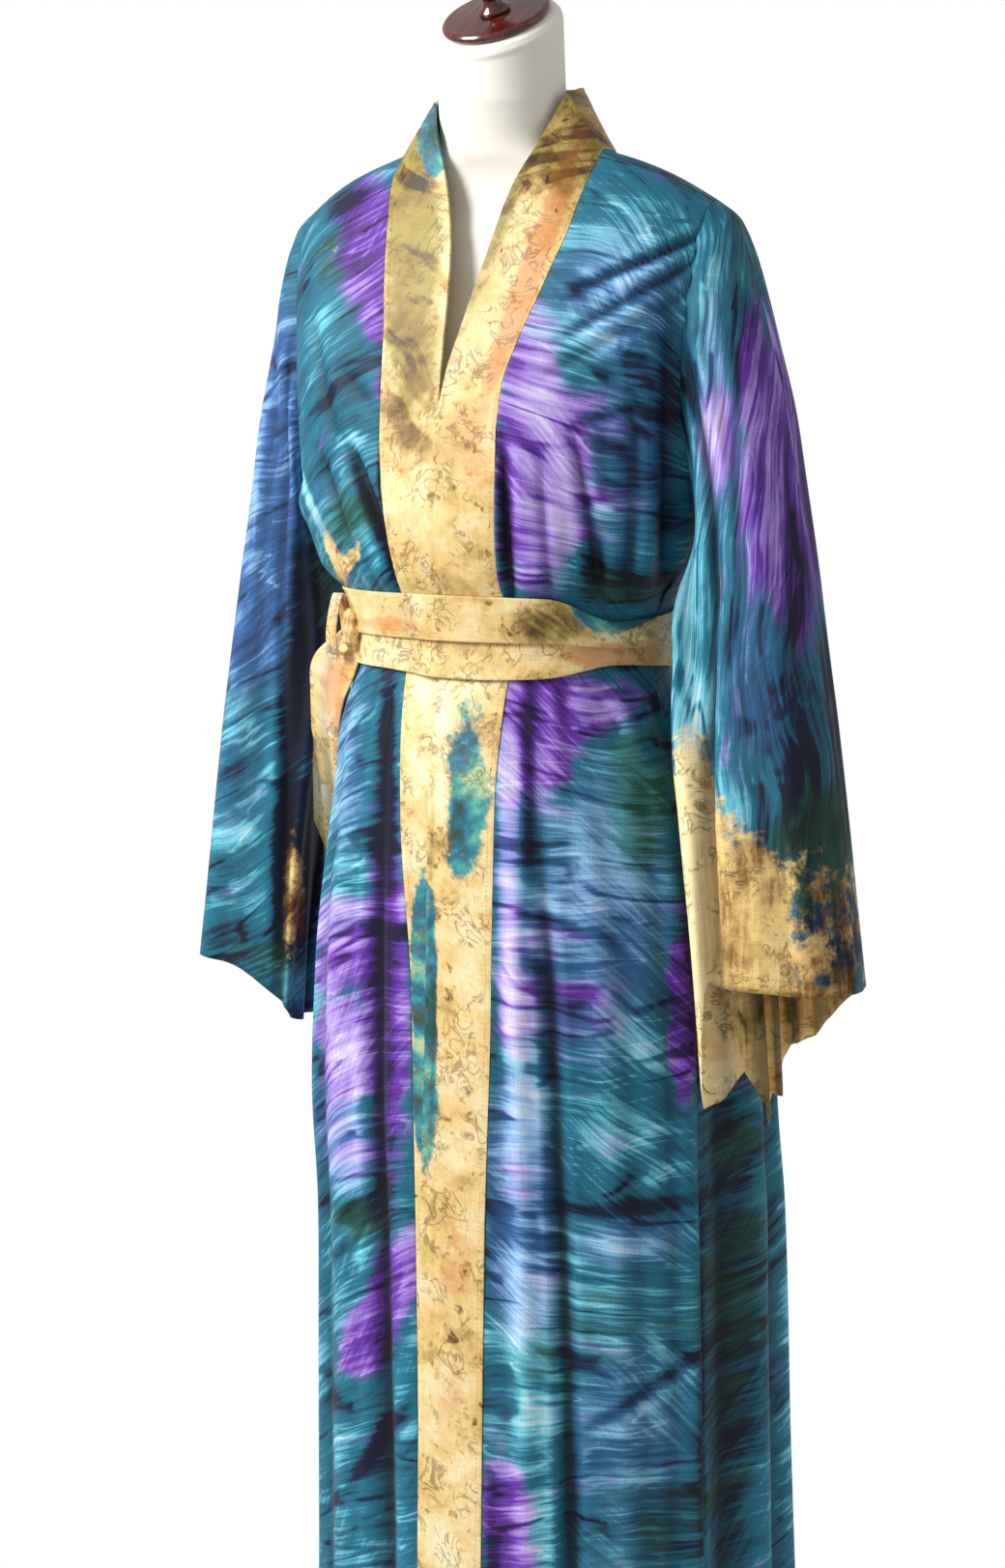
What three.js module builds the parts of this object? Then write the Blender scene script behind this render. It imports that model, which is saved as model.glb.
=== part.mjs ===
// A kimono duster, worn by a limbless dress form. Millimetres, +Z up, the front faces -Y and the
// wearer's left is +X. The origin is the centre of the stand's underside, on the floor.
//
// Below the underarm the robe is a family of closed rings, worked out from the BODY sections.
// Above it, each quarter of the yoke is a patch between four edges: the shoulder, the armhole,
// the front or back middle line, and the underarm ring. A sleeve is a tube whose rings fan from
// the armhole to the cuff. Each piece is a wall between two moved copies of its middle surface,
// and pieces that meet at a seam share its points and, there, the direction of the wall.

import * as THREE from "three";

// ---- driving dimensions ----

const CLOTH = 2.0; // wall of a single layer
const DOUBLED = 2.6; // wall of the folded neckband and sash
const SEAM_GAP = 0.3; // between two pieces at a seam

const WAIST_Z = 1043;
const UNDERARM_Z = 1172;
const HEM_Z = 95;
const SHOULDER_END = { x: 195, y: -4, z: 1408 };
const NECK_POINT = { x: 97, y: -20, z: 1452 };
const SHOULDER_CROWN = 5; // how far the shoulder line rises above its chord
const ARMHOLE_DEPTH = 48; // half the armhole's width, front to back
const NAPE = { y: 56, z: 1452 };
const NECKLINE_CENTRE_Y = -12;
const BAND_WIDTH = 60;
const ROUNDNESS = 0.92; // 1 gives elliptic rings, less gives squarer ones
const OVERLAP_LIFT = 5; // how far the left front lies over the right one
const LIFT_FULL_X = 62; // the lift is whole as far as this, across the left front
const LIFT_NONE_X = 125;

const YOKE_ROWS = 10;
const FRONT_COLUMNS = 12;
const NECKLINE_COLUMNS = 4;
const BAND_COLUMNS = 2;
const SLEEVE_COLUMNS = 2 * YOKE_ROWS;
const SLEEVE_ROWS = 19;

// Closed rings of the body: half its width, and its reach to the front and back of the middle.
// centre moves the widest line to the back, shift moves the ring to the wearer's left, and seam
// is the angle of the side seams in degrees.
const BODY = [
  { z: 1172, half: 178, front: 128, back: 112, centre: 0, shift: 0, seam: 90 },
  { z: 1130, half: 168, front: 124, back: 109, centre: 0, shift: 0, seam: 90 },
  { z: 1100, half: 158, front: 118, back: 105, centre: 0, shift: 0, seam: 89 },
  { z: 1082, half: 147, front: 109, back: 100, centre: 0, shift: 0, seam: 88 },
  { z: 1062, half: 140, front: 103, back: 96, centre: 0, shift: 0, seam: 87 },
  { z: 1043, half: 138, front: 101, back: 94, centre: 0, shift: 0, seam: 86 },
  { z: 1020, half: 140, front: 103, back: 97, centre: 1, shift: 0, seam: 85 },
  { z: 1000, half: 146, front: 108, back: 103, centre: 3, shift: 1, seam: 83 },
  { z: 960, half: 161, front: 114, back: 119, centre: 9, shift: 3, seam: 80 },
  { z: 923, half: 169, front: 118, back: 133, centre: 16, shift: 6, seam: 77 },
  { z: 840, half: 184, front: 121, back: 154, centre: 25, shift: 8, seam: 71 },
  { z: 757, half: 194, front: 123, back: 169, centre: 31, shift: 9, seam: 67 },
  { z: 640, half: 199, front: 124, back: 180, centre: 34, shift: 10, seam: 65 },
  { z: 550, half: 199, front: 124, back: 186, centre: 36, shift: 14, seam: 64 },
  { z: 240, half: 201, front: 126, back: 195, centre: 38, shift: 18, seam: 64 },
  { z: 95, half: 204, front: 127, back: 200, centre: 39, shift: 19, seam: 64 },
];

// Heights of the rows of the closed part.
const BODY_ROWS = [
  1172, 1140, 1108, 1082, 1062, 1043, 1022, 1004, 982, 945, 895, 830, 755, 670, 575, 470, 360, 250, 165,
  95,
];

// Vertical folds. Angles are round the body in degrees: 0 is the front, 90 the wearer's left side
// and 180 the back. at is the angle at the waist, hem the angle at the hem, wide the half width
// at the hem; a positive depth is a ridge and a negative one a trough.
const SKIRT_FOLDS = [
  { at: 26, hem: 27, wide: 9, depth: 8 },
  { at: 36, hem: 38, wide: 9, depth: -7 },
  { at: 50, hem: 50, wide: 10, depth: 5 },
  { at: 64, hem: 61, wide: 8, depth: 8 },
  { at: 78, hem: 73, wide: 9, depth: -9 },
  { at: 92, hem: 87, wide: 9, depth: 10 },
  { at: 106, hem: 101, wide: 9, depth: -9 },
  { at: 119, hem: 115, wide: 9, depth: 12 },
  { at: 133, hem: 129, wide: 8, depth: -10 },
  { at: 147, hem: 144, wide: 8, depth: 12 },
  { at: 162, hem: 160, wide: 8, depth: -10 },
  { at: 176, hem: 175, wide: 8, depth: 11 },
  { at: 191, hem: 190, wide: 8, depth: -11 },
  { at: 207, hem: 205, wide: 8, depth: 12 },
  { at: 222, hem: 219, wide: 8, depth: -10 },
  { at: 238, hem: 234, wide: 9, depth: 11 },
  { at: 254, hem: 249, wide: 9, depth: -9 },
  { at: 268, hem: 264, wide: 9, depth: 8 },
  { at: 285, hem: 282, wide: 9, depth: -7 },
  { at: 303, hem: 302, wide: 10, depth: 9 },
  { at: 321, hem: 318, wide: 9, depth: -14 },
  { at: 337, hem: 332, wide: 9, depth: 8 },
];
const BODICE_FOLDS = [
  { at: 32, hem: 30, wide: 8, depth: 5 },
  { at: 48, hem: 50, wide: 8, depth: -5 },
  { at: 64, hem: 68, wide: 9, depth: 5 },
  { at: 112, hem: 115, wide: 9, depth: 6 },
  { at: 132, hem: 134, wide: 9, depth: -5 },
  { at: 152, hem: 152, wide: 9, depth: 6 },
  { at: 172, hem: 171, wide: 8, depth: -5 },
  { at: 192, hem: 192, wide: 9, depth: 6 },
  { at: 212, hem: 211, wide: 9, depth: -5 },
  { at: 234, hem: 232, wide: 9, depth: 6 },
  { at: 296, hem: 293, wide: 9, depth: 5 },
  { at: 314, hem: 311, wide: 8, depth: -6 },
  { at: 330, hem: 329, wide: 7, depth: 4 },
];

// Where the front panels meet the neckband, below the underarm: x against height.
const FRONT_SEAM = [
  { z: 1172, left: 56, right: -55 },
  { z: 1130, left: 54, right: -50 },
  { z: 1085, left: 53, right: -45 },
  { z: 1020, left: 53, right: -45 },
  { z: 900, left: 51, right: -40 },
  { z: 757, left: 51, right: -27 },
  { z: 550, left: 46, right: -22 },
  { z: 240, left: 44, right: -17 },
  { z: 95, left: 44, right: -15 },
];

// The same seam in the yoke, and the neckband's free edge, row by row down from the neck point.
// z is the seam's height; the seam is at seamX, seamY and the free edge at edgeX, edgeY, edgeZ.
const LEFT_LAPEL = [
  { z: 1452, seamX: 97, seamY: -20, edgeX: 63, edgeY: -22, edgeZ: 1500 },
  { z: 1430, seamX: 98, seamY: -44, edgeX: 56, edgeY: -50, edgeZ: 1463 },
  { z: 1395, seamX: 98, seamY: -72, edgeX: 44, edgeY: -79, edgeZ: 1420 },
  { z: 1345, seamX: 88, seamY: -98, edgeX: 33, edgeY: -101, edgeZ: 1364 },
  { z: 1297, seamX: 72, seamY: -114, edgeX: 20, edgeY: -117, edgeZ: 1309 },
  { z: 1257, seamX: 60, seamY: -122, edgeX: 8, edgeY: -126, edgeZ: 1263 },
  { z: 1210, seamX: 57, seamY: -127, edgeX: 1, edgeY: -132, edgeZ: 1210 },
];
const RIGHT_LAPEL = [
  { z: 1452, seamX: -97, seamY: -20, edgeX: -55, edgeY: -38, edgeZ: 1495 },
  { z: 1430, seamX: -89, seamY: -50, edgeX: -36, edgeY: -65, edgeZ: 1466 },
  { z: 1395, seamX: -79, seamY: -74, edgeX: -21, edgeY: -73, edgeZ: 1416 },
  { z: 1345, seamX: -68, seamY: -97, edgeX: -6, edgeY: -94, edgeZ: 1358 },
  { z: 1297, seamX: -60, seamY: -111, edgeX: 0, edgeY: -113, edgeZ: 1299 },
  { z: 1257, seamX: -58, seamY: -118, edgeX: 1, edgeY: -121, edgeZ: 1257 },
  { z: 1210, seamX: -57, seamY: -122, edgeX: 4, edgeY: -126, edgeZ: 1210 },
];

// The middle of the back, down from the nape.
const SPINE = [
  { z: 1452, y: 56 },
  { z: 1425, y: 74 },
  { z: 1385, y: 94 },
  { z: 1330, y: 107 },
  { z: 1260, y: 113 },
  { z: 1172, y: 112 },
];

// The neckband's free edge round the nape, from the shoulder seam (turn 0) to the middle (turn 1).
const COLLAR_EDGE = [
  { turn: 0, x: 62, y: -22, z: 1498 },
  { turn: 0.3, x: 61, y: 6, z: 1506 },
  { turn: 0.65, x: 40, y: 36, z: 1508 },
  { turn: 1, x: 0, y: 50, z: 1509 },
];

// Sleeve rings from armhole to cuff. top is the outer fold and low the underarm seam; deep is half
// the ring's width, front to back, and midY its middle. dropFront and dropBack bend a ring so that
// its outer part runs level and its inner part hangs down.
const SLEEVE = [
  { run: 0, topX: 195, topZ: 1408, lowX: 178, lowZ: 1172, deep: 48, midY: -2, dropFront: 1, dropBack: 1 },
  { run: 1, topX: 215, topZ: 1402, lowX: 183, lowZ: 1160, deep: 50, midY: -2, dropFront: 1, dropBack: 1 },
  { run: 2, topX: 228, topZ: 1387, lowX: 187, lowZ: 1146, deep: 51, midY: -1, dropFront: 1, dropBack: 1 },
  { run: 3, topX: 234, topZ: 1352, lowX: 190, lowZ: 1128, deep: 52, midY: 0, dropFront: 1, dropBack: 1 },
  { run: 4, topX: 243, topZ: 1302, lowX: 192, lowZ: 1104, deep: 52, midY: 0, dropFront: 1.1, dropBack: 1 },
  { run: 5, topX: 254, topZ: 1244, lowX: 192, lowZ: 1074, deep: 52, midY: 0, dropFront: 1.2, dropBack: 1.1 },
  { run: 6, topX: 265, topZ: 1182, lowX: 191, lowZ: 1038, deep: 51, midY: -1, dropFront: 1.3, dropBack: 1.1 },
  { run: 7, topX: 276, topZ: 1116, lowX: 191, lowZ: 996, deep: 50, midY: -2, dropFront: 1.5, dropBack: 1.2 },
  { run: 8, topX: 286, topZ: 1048, lowX: 195, lowZ: 946, deep: 50, midY: -3, dropFront: 1.8, dropBack: 1.3 },
  { run: 9, topX: 297, topZ: 980, lowX: 205, lowZ: 888, deep: 49, midY: -4, dropFront: 2.2, dropBack: 1.4 },
  { run: 10, topX: 307, topZ: 908, lowX: 214, lowZ: 820, deep: 48, midY: -5, dropFront: 2.7, dropBack: 1.5 },
  { run: 11, topX: 316, topZ: 838, lowX: 221, lowZ: 740, deep: 47, midY: -6, dropFront: 3.2, dropBack: 1.6 },
  { run: 12, topX: 325, topZ: 770, lowX: 227, lowZ: 648, deep: 46, midY: -7, dropFront: 3.8, dropBack: 1.7 },
];
// How each sleeve differs: its cuff's outer and inner corner are raised by top and low, and it is
// moved out and back by x and y. inner is its share of SLEEVE_INNER.
const CUFF = {
  left: { top: 0, low: 0, drop: 1, x: 0, y: 0, inner: 1 },
  right: { top: -26, low: 42, drop: 0.45, x: -7, y: 8, inner: 0.45 },
};
// How the inner part of a sleeve is drawn towards the body and to the front, round the underarm
// seam: a soft ridge, a valley, the inner front corner and the seam itself.
const SLEEVE_INNER = [
  { at: 0.27, x: 0, y: 0 },
  { at: 0.32, x: -8, y: 0 },
  { at: 0.36, x: -17, y: 3 },
  { at: 0.4, x: -30, y: -11 },
  { at: 0.45, x: -14, y: -2 },
  { at: 0.5, x: 4, y: 9 },
  { at: 0.56, x: 6, y: 6 },
  { at: 0.66, x: 0, y: 0 },
];
const SLEEVE_SQUARE = 0.72; // of the inner half; below 1, its front and back layers are flatter
// Lengthwise folds of a sleeve. at is a share of the way round: 0 the outer fold, 0.25 the front
// layer, 0.5 the underarm seam and 0.75 the back layer.
const SLEEVE_FOLDS = [
  { at: 0.14, wide: 0.07, depth: 4 },
  { at: 0.24, wide: 0.07, depth: -4 },
  { at: 0.6, wide: 0.06, depth: -5 },
  { at: 0.7, wide: 0.07, depth: 5 },
  { at: 0.8, wide: 0.07, depth: -5 },
  { at: 0.9, wide: 0.07, depth: 4 },
];

// The sash: each turn round the waist lies out from the robe's middle surface by these amounts at
// its top, middle and bottom.
const SASH_TURNS = {
  belt_turn_upper: { top: "high", bottom: "split", outTop: 3.6, outMiddle: 6.3, outBottom: 6.9 },
  belt_turn_lower: { top: "tuck", bottom: "low", outTop: 3.5, outMiddle: 3.9, outBottom: 3.7 },
};
// Heights of the turns' edges at angles round the body in degrees.
const SASH_EDGES = [
  { angle: -180, high: 1080, split: 1045, tuck: 1051, low: 1014 },
  { angle: -75, high: 1083, split: 1046, tuck: 1052, low: 1020 },
  { angle: -30, high: 1084, split: 1047, tuck: 1053, low: 1020 },
  { angle: 5, high: 1085, split: 1047, tuck: 1053, low: 1016 },
  { angle: 32, high: 1084, split: 1047, tuck: 1053, low: 1018 },
  { angle: 62, high: 1064, split: 1042, tuck: 1048, low: 1028 },
  { angle: 85, high: 1066, split: 1041, tuck: 1047, low: 1025 },
  { angle: 130, high: 1077, split: 1044, tuck: 1050, low: 1016 },
  { angle: 180, high: 1080, split: 1045, tuck: 1051, low: 1014 },
];
const SASH_COLUMNS = 60;
const SASH_EDGE = { from: -13, to: -36 }; // where the sash comes down off the left band's edge

// The knot is a rounded lump at this angle; the loop stands beside it.
const KNOT = { angle: -52, z: 1046, out: 18.9, across: 12.8, through: 10, tall: 17 };
const LOOP = { angle: -61.8, z: 1051, out: 22.6, through: 11, tall: 29, width: 18 };

// Sash ends that hang from the knot: their angle round the body, width and distance out.
const SASH_ENDS = {
  belt_end_front: { topZ: 1020.6, endZ: 826, from: -61.7, to: -68, topWidth: 18, width: 36, outTop: 22, outEnd: 4 },
  belt_end_back: { topZ: 1019, endZ: 758, from: -71.5, to: -88, topWidth: 16, width: 36, outTop: 22, outEnd: 1.9 },
};

// The padded form: rings with their centre moved forward by lean (towards -Y).
const FORM = [
  { z: 1496, half: 54, front: 54, back: 54, lean: 19 },
  { z: 1468, half: 55, front: 53, back: 55, lean: 15 },
  { z: 1450, half: 66, front: 53, back: 57, lean: 12 },
  { z: 1440, half: 92.7, front: 49, back: 52.6, lean: 11 },
  { z: 1428, half: 118.6, front: 47, back: 52.6, lean: 9 },
  { z: 1408, half: 146, front: 49, back: 57, lean: 6 },
  { z: 1382, half: 162, front: 60, back: 66, lean: 4 },
  { z: 1340, half: 165, front: 74, back: 76, lean: 2 },
  { z: 1280, half: 162, front: 94, back: 82, lean: 0 },
  { z: 1225, half: 154, front: 110, back: 86, lean: 0 },
  { z: 1180, half: 145, front: 108, back: 86, lean: 0 },
  { z: 1120, half: 131, front: 97, back: 84, lean: 0 },
  { z: 1050, half: 120, front: 87, back: 80, lean: 0 },
  { z: 990, half: 130, front: 92, back: 88, lean: 0 },
  { z: 920, half: 150, front: 101, back: 106, lean: 0 },
  { z: 850, half: 162, front: 105, back: 118, lean: 0 },
  { z: 790, half: 160, front: 102, back: 116, lean: 0 },
  { z: 760, half: 150, front: 94, back: 106, lean: 0 },
];
const FORM_COLUMNS = 32;
const NECK_TOP = { z: 1563, y: -27, tilt: 32 }; // tilt in degrees, the front lower
const NECK_RIM = [
  { r: 54, h: -14 },
  { r: 54, h: -7 },
  { r: 51, h: -2 },
  { r: 47, h: 0 },
];
const CAP = { radius: 47, thick: 8, round: 2.5 };
const FINIAL = [
  { r: 13, h: 0 },
  { r: 14, h: 3 },
  { r: 9, h: 7 },
  { r: 7, h: 12 },
  { r: 10, h: 17 },
  { r: 17, h: 25 },
  { r: 20, h: 34 },
  { r: 18, h: 43 },
  { r: 11, h: 51 },
];
const POLE_RADIUS = 13;
const BASE_PROFILE = [
  { r: 156, h: 0 },
  { r: 160, h: 5 },
  { r: 160, h: 14 },
  { r: 153, h: 20 },
  { r: 44, h: 24 },
  { r: 30, h: 30 },
  { r: 28, h: 50 },
];

const PAINT = {
  silk: { color: "#2d6a84", roughness: 0.5, metalness: 0 },
  gold: { color: "#dcb76a", roughness: 0.5, metalness: 0 },
  jersey: { color: "#e9e2d6", roughness: 0.85, metalness: 0 },
  mahogany: { color: "#5a2015", roughness: 0.25, metalness: 0 },
  black: { color: "#23211f", roughness: 0.4, metalness: 0 },
};

// ---- small tools ----

const radians = (degrees) => (degrees * Math.PI) / 180;
const mix = (a, b, t) => a + (b - a) * t;
const clamp = (v) => Math.min(1, Math.max(0, v));
const smooth = (v) => clamp(v) ** 2 * (3 - 2 * clamp(v));
const vec = (x, y, z) => new THREE.Vector3(x, y, z);
const signed = (v, power) => Math.sign(v) * Math.abs(v) ** power;

// Value of one column of a table at key = at, by a cubic that doesn't overshoot its rows.
function column(table, key, at, name) {
  const rows = table[0][key] <= table[table.length - 1][key] ? table : [...table].reverse();
  const last = rows.length - 1;
  if (at <= rows[0][key]) return rows[0][name];
  if (at >= rows[last][key]) return rows[last][name];
  let i = 0;
  while (rows[i + 1][key] < at) i += 1;
  const slope = (k) => (rows[k + 1][name] - rows[k][name]) / (rows[k + 1][key] - rows[k][key]);
  const tangent = (k) => {
    if (k === 0) return slope(0);
    if (k === last) return slope(last - 1);
    const [before, after] = [slope(k - 1), slope(k)];
    return before * after <= 0 ? 0 : (2 * before * after) / (before + after);
  };
  const step = rows[i + 1][key] - rows[i][key];
  const t = (at - rows[i][key]) / step;
  const [a, b] = [rows[i][name], rows[i + 1][name]];
  const [ta, tb] = [tangent(i) * step, tangent(i + 1) * step];
  const [t2, t3] = [t * t, t * t * t];
  return a * (2 * t3 - 3 * t2 + 1) + ta * (t3 - 2 * t2 + t) + b * (3 * t2 - 2 * t3) + tb * (t3 - t2);
}

// ---- the body's rings ----

// Height of folds at an angle (degrees) and level, by raised-cosine bumps.
function folds(list, angle, share, strength) {
  let sum = 0;
  for (const fold of list) {
    const away = ((angle - mix(fold.at, fold.hem, share) + 540) % 360) - 180;
    const wide = fold.wide * mix(0.8, 1, share);
    if (Math.abs(away) < wide) sum += (fold.depth * (1 + Math.cos((Math.PI * away) / wide))) / 2;
  }
  return sum * strength;
}

function foldHeight(angle, z) {
  if (z < WAIST_Z) {
    const share = (WAIST_Z - z) / (WAIST_Z - HEM_Z);
    const strength = smooth((WAIST_Z - 34 - z) / 260) * mix(0.75, 1.1, share);
    const pinch = 0.22 * smooth((WAIST_Z - 38 - z) / 18) * (1 - smooth((WAIST_Z - 60 - z) / 120));
    return folds(SKIRT_FOLDS, angle, share, strength + pinch);
  }
  const share = (z - WAIST_Z) / (UNDERARM_Z - WAIST_Z);
  const strength = smooth((z - WAIST_Z - 40) / 22) * (1 - smooth((z - WAIST_Z - 62) / 66));
  return folds(BODICE_FOLDS, angle, share, strength);
}

// How far the left front stands out over the right one, at x.
const liftAt = (x) => OVERLAP_LIFT * (1 - smooth((x - LIFT_FULL_X) / (LIFT_NONE_X - LIFT_FULL_X)));

// A point of the body at an angle (radians) and height, out mm outside the plain ring.
function ring(angle, z, out = 0) {
  const half = column(BODY, "z", z, "half");
  const centre = column(BODY, "z", z, "centre");
  const isFront = Math.cos(angle) >= 0;
  const depth = isFront ? column(BODY, "z", z, "front") + centre : column(BODY, "z", z, "back") - centre;
  const x = half * signed(Math.sin(angle), ROUNDNESS);
  const y = -depth * signed(Math.cos(angle), ROUNDNESS);
  const away = vec(x / (half * half), y / (depth * depth), 0).normalize();
  const rise = foldHeight((angle * 180) / Math.PI, z) + out;
  return vec(x + column(BODY, "z", z, "shift"), y + centre, z).addScaledVector(away, rise);
}

// The angle at which the plain ring has this x on its front.
function angleAt(x, z) {
  const share = (x - column(BODY, "z", z, "shift")) / column(BODY, "z", z, "half");
  return Math.asin(signed(share, 1 / ROUNDNESS));
}

const seamAngle = (z) => radians(column(BODY, "z", z, "seam"));
const bandX = (side, z) => column(FRONT_SEAM, "z", z, side > 0 ? "left" : "right");

// ---- walls ----

// Directions square to a grid of points, one for each point.
function normalsOf(grid, closed, flip) {
  const rows = grid.length;
  const columns = grid[0].length;
  return grid.map((row, j) =>
    row.map((_, i) => {
      const left = closed ? row[(i + columns - 1) % columns] : row[Math.max(0, i - 1)];
      const right = closed ? row[(i + 1) % columns] : row[Math.min(columns - 1, i + 1)];
      const up = grid[Math.max(0, j - 1)][i];
      const down = grid[Math.min(rows - 1, j + 1)][i];
      const n = right.clone().sub(left).cross(down.clone().sub(up)).normalize();
      return flip ? n.negate() : n;
    }),
  );
}

// A closed wall round a grid of points, with the given outward direction at each.
function wallOf(grid, normals, thick, closed) {
  const rows = grid.length;
  const columns = grid[0].length;
  const positions = [];
  for (const side of [thick / 2, -thick / 2])
    grid.forEach((row, j) =>
      row.forEach((p, i) => positions.push(...p.clone().addScaledVector(normals[j][i], side).toArray())),
    );
  const outer = (j, i) => j * columns + (i % columns);
  const inner = (j, i) => rows * columns + outer(j, i);
  const faces = [];
  const quad = (a, b, c, d) => faces.push(a, b, c, a, c, d);
  const across = closed ? columns : columns - 1;
  for (let j = 0; j < rows - 1; j += 1)
    for (let i = 0; i < across; i += 1) {
      quad(outer(j, i), outer(j + 1, i), outer(j + 1, i + 1), outer(j, i + 1));
      quad(inner(j, i), inner(j, i + 1), inner(j + 1, i + 1), inner(j + 1, i));
    }
  for (let i = 0; i < across; i += 1) {
    quad(outer(0, i), outer(0, i + 1), inner(0, i + 1), inner(0, i));
    quad(outer(rows - 1, i + 1), outer(rows - 1, i), inner(rows - 1, i), inner(rows - 1, i + 1));
  }
  if (!closed)
    for (let j = 0; j < rows - 1; j += 1) {
      quad(outer(j + 1, 0), outer(j, 0), inner(j, 0), inner(j + 1, 0));
      quad(outer(j, columns - 1), outer(j + 1, columns - 1), inner(j + 1, columns - 1), inner(j, columns - 1));
    }
  return closedBody(positions, faces);
}

// A closed body of these triangles, turned so that they all face outwards.
function closedBody(positions, faces) {
  const geometry = new THREE.BufferGeometry();
  geometry.setAttribute("position", new THREE.Float32BufferAttribute(positions, 3));
  geometry.setIndex(signedVolume(positions, faces) > 0 ? faces : reversed(faces));
  geometry.computeVertexNormals();
  return geometry;
}

function signedVolume(positions, faces) {
  let sum = 0;
  const at = (k) => vec(positions[3 * k], positions[3 * k + 1], positions[3 * k + 2]);
  for (let k = 0; k < faces.length; k += 3) sum += at(faces[k]).dot(at(faces[k + 1]).cross(at(faces[k + 2])));
  return sum / 6;
}

function reversed(faces) {
  const turned = [];
  for (let k = 0; k < faces.length; k += 3) turned.push(faces[k], faces[k + 2], faces[k + 1]);
  return turned;
}

// Moves an edge of a grid back from its seam, towards the next line of points.
function drawBack(grid, side) {
  const lastRow = grid.length - 1;
  const lastColumn = grid[0].length - 1;
  const pull = (p, q) => p.add(q.clone().sub(p).setLength(SEAM_GAP / 2));
  if (side === "top") grid[0].forEach((p, i) => pull(p, grid[1][i]));
  if (side === "bottom") grid[lastRow].forEach((p, i) => pull(p, grid[lastRow - 1][i]));
  if (side === "left") grid.forEach((row) => pull(row[0], row[1]));
  if (side === "right") grid.forEach((row) => pull(row[lastColumn], row[lastColumn - 1]));
}

// ---- the yoke: shoulder, armhole and middle lines ----

// The armhole at a share of the way round: 0 the shoulder, 0.25 front, 0.5 underarm, 0.75 back.
function armhole(side, round) {
  const down = (1 - Math.cos(2 * Math.PI * round)) / 2;
  const low = ring(Math.PI / 2, UNDERARM_Z);
  return vec(
    side * mix(SHOULDER_END.x, low.x, down),
    mix(SHOULDER_END.y, low.y, down) - ARMHOLE_DEPTH * Math.sin(2 * Math.PI * round),
    mix(SHOULDER_END.z, low.z, down),
  );
}

function shoulder(side, along) {
  return vec(
    side * mix(SHOULDER_END.x, NECK_POINT.x, along),
    mix(SHOULDER_END.y, NECK_POINT.y, along),
    mix(SHOULDER_END.z, NECK_POINT.z, along) + SHOULDER_CROWN * Math.sin(Math.PI * along),
  );
}

// The neckline of the back, from the neck point (turn 0) to the nape (turn 1).
function neckline(side, turn) {
  const reach = NAPE.y - NECKLINE_CENTRE_Y;
  const start = Math.asin((NECK_POINT.y - NECKLINE_CENTRE_Y) / reach);
  const angle = mix(start, Math.PI / 2, turn);
  return vec(
    (side * NECK_POINT.x * Math.cos(angle)) / Math.cos(start),
    NECKLINE_CENTRE_Y + reach * Math.sin(angle),
    mix(NECK_POINT.z, NAPE.z, turn),
  );
}

// The lapel's rows, closed by the first row of the part below.
function lapelTable(side) {
  const [seam, edge] = [bandPoint(side, 0, UNDERARM_Z), bandPoint(side, 1, UNDERARM_Z)];
  const low = { z: UNDERARM_Z, seamX: seam.x, seamY: seam.y, edgeX: edge.x, edgeY: edge.y, edgeZ: edge.z };
  return [...(side > 0 ? LEFT_LAPEL : RIGHT_LAPEL), low];
}

// Levels of the yoke: 0 at the shoulder, 1 at the underarm. They lie close near the shoulder.
const fallAt = (level) => 1 - Math.cos((Math.PI * level) / 2);

function frontSeam(side, level) {
  const z = mix(NECK_POINT.z, UNDERARM_Z, fallAt(level));
  const table = lapelTable(side);
  return vec(column(table, "z", z, "seamX"), column(table, "z", z, "seamY"), z);
}

function spine(level) {
  const z = mix(NAPE.z, UNDERARM_Z, fallAt(level));
  return vec(0, column(SPINE, "z", z, "y"), z);
}

// A patch between four edges. Its warp lines fall from top to bottom as quarter ellipses, and are
// pulled over to the side edge (across 0) and the middle edge (across 1).
function patch(side, middle, top, bottom, across, level) {
  const warp = (u) => {
    const [a, b] = [top(u), bottom(u)];
    const out = Math.sin((Math.PI * level) / 2);
    return vec(mix(a.x, b.x, level), mix(a.y, b.y, out), mix(a.z, b.z, fallAt(level)));
  };
  const p = warp(across).addScaledVector(side(level).sub(warp(0)), 1 - across);
  return p.addScaledVector(middle(level).sub(warp(1)), across);
}

// ---- body panels ----

// A point of the closed part of a front, across from the side seam (0) to the neckband (1).
function frontLow(side, across, z) {
  const angle = mix(side * seamAngle(z), angleAt(bandX(side, z), z), across);
  return side > 0 ? ring(angle, z, liftAt(ring(angle, z).x)) : ring(angle, z);
}

function backLow(across, z) {
  return ring(mix(seamAngle(z), 2 * Math.PI - seamAngle(z), across), z);
}

// A point of the neckband below the underarm, across from its seam (0) to its free edge (1).
function bandPoint(side, across, z) {
  const angle = angleAt(bandX(side, z) - side * BAND_WIDTH * across, z);
  return ring(angle, z, side > 0 ? OVERLAP_LIFT : 0);
}

function frontGrid(side) {
  const sideEdge = (level) => armhole(side, level / 2);
  const middle = (level) => frontSeam(side, level);
  const top = (across) => shoulder(side, across);
  const bottom = (across) => frontLow(side, across, UNDERARM_Z);
  const columns = [...Array(FRONT_COLUMNS + 1).keys()].map((i) => i / FRONT_COLUMNS);
  const grid = [];
  for (let j = 0; j < YOKE_ROWS; j += 1)
    grid.push(columns.map((u) => patch(sideEdge, middle, top, bottom, u, j / YOKE_ROWS)));
  for (const z of BODY_ROWS) grid.push(columns.map((u) => frontLow(side, u, z)));
  return grid;
}

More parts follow.
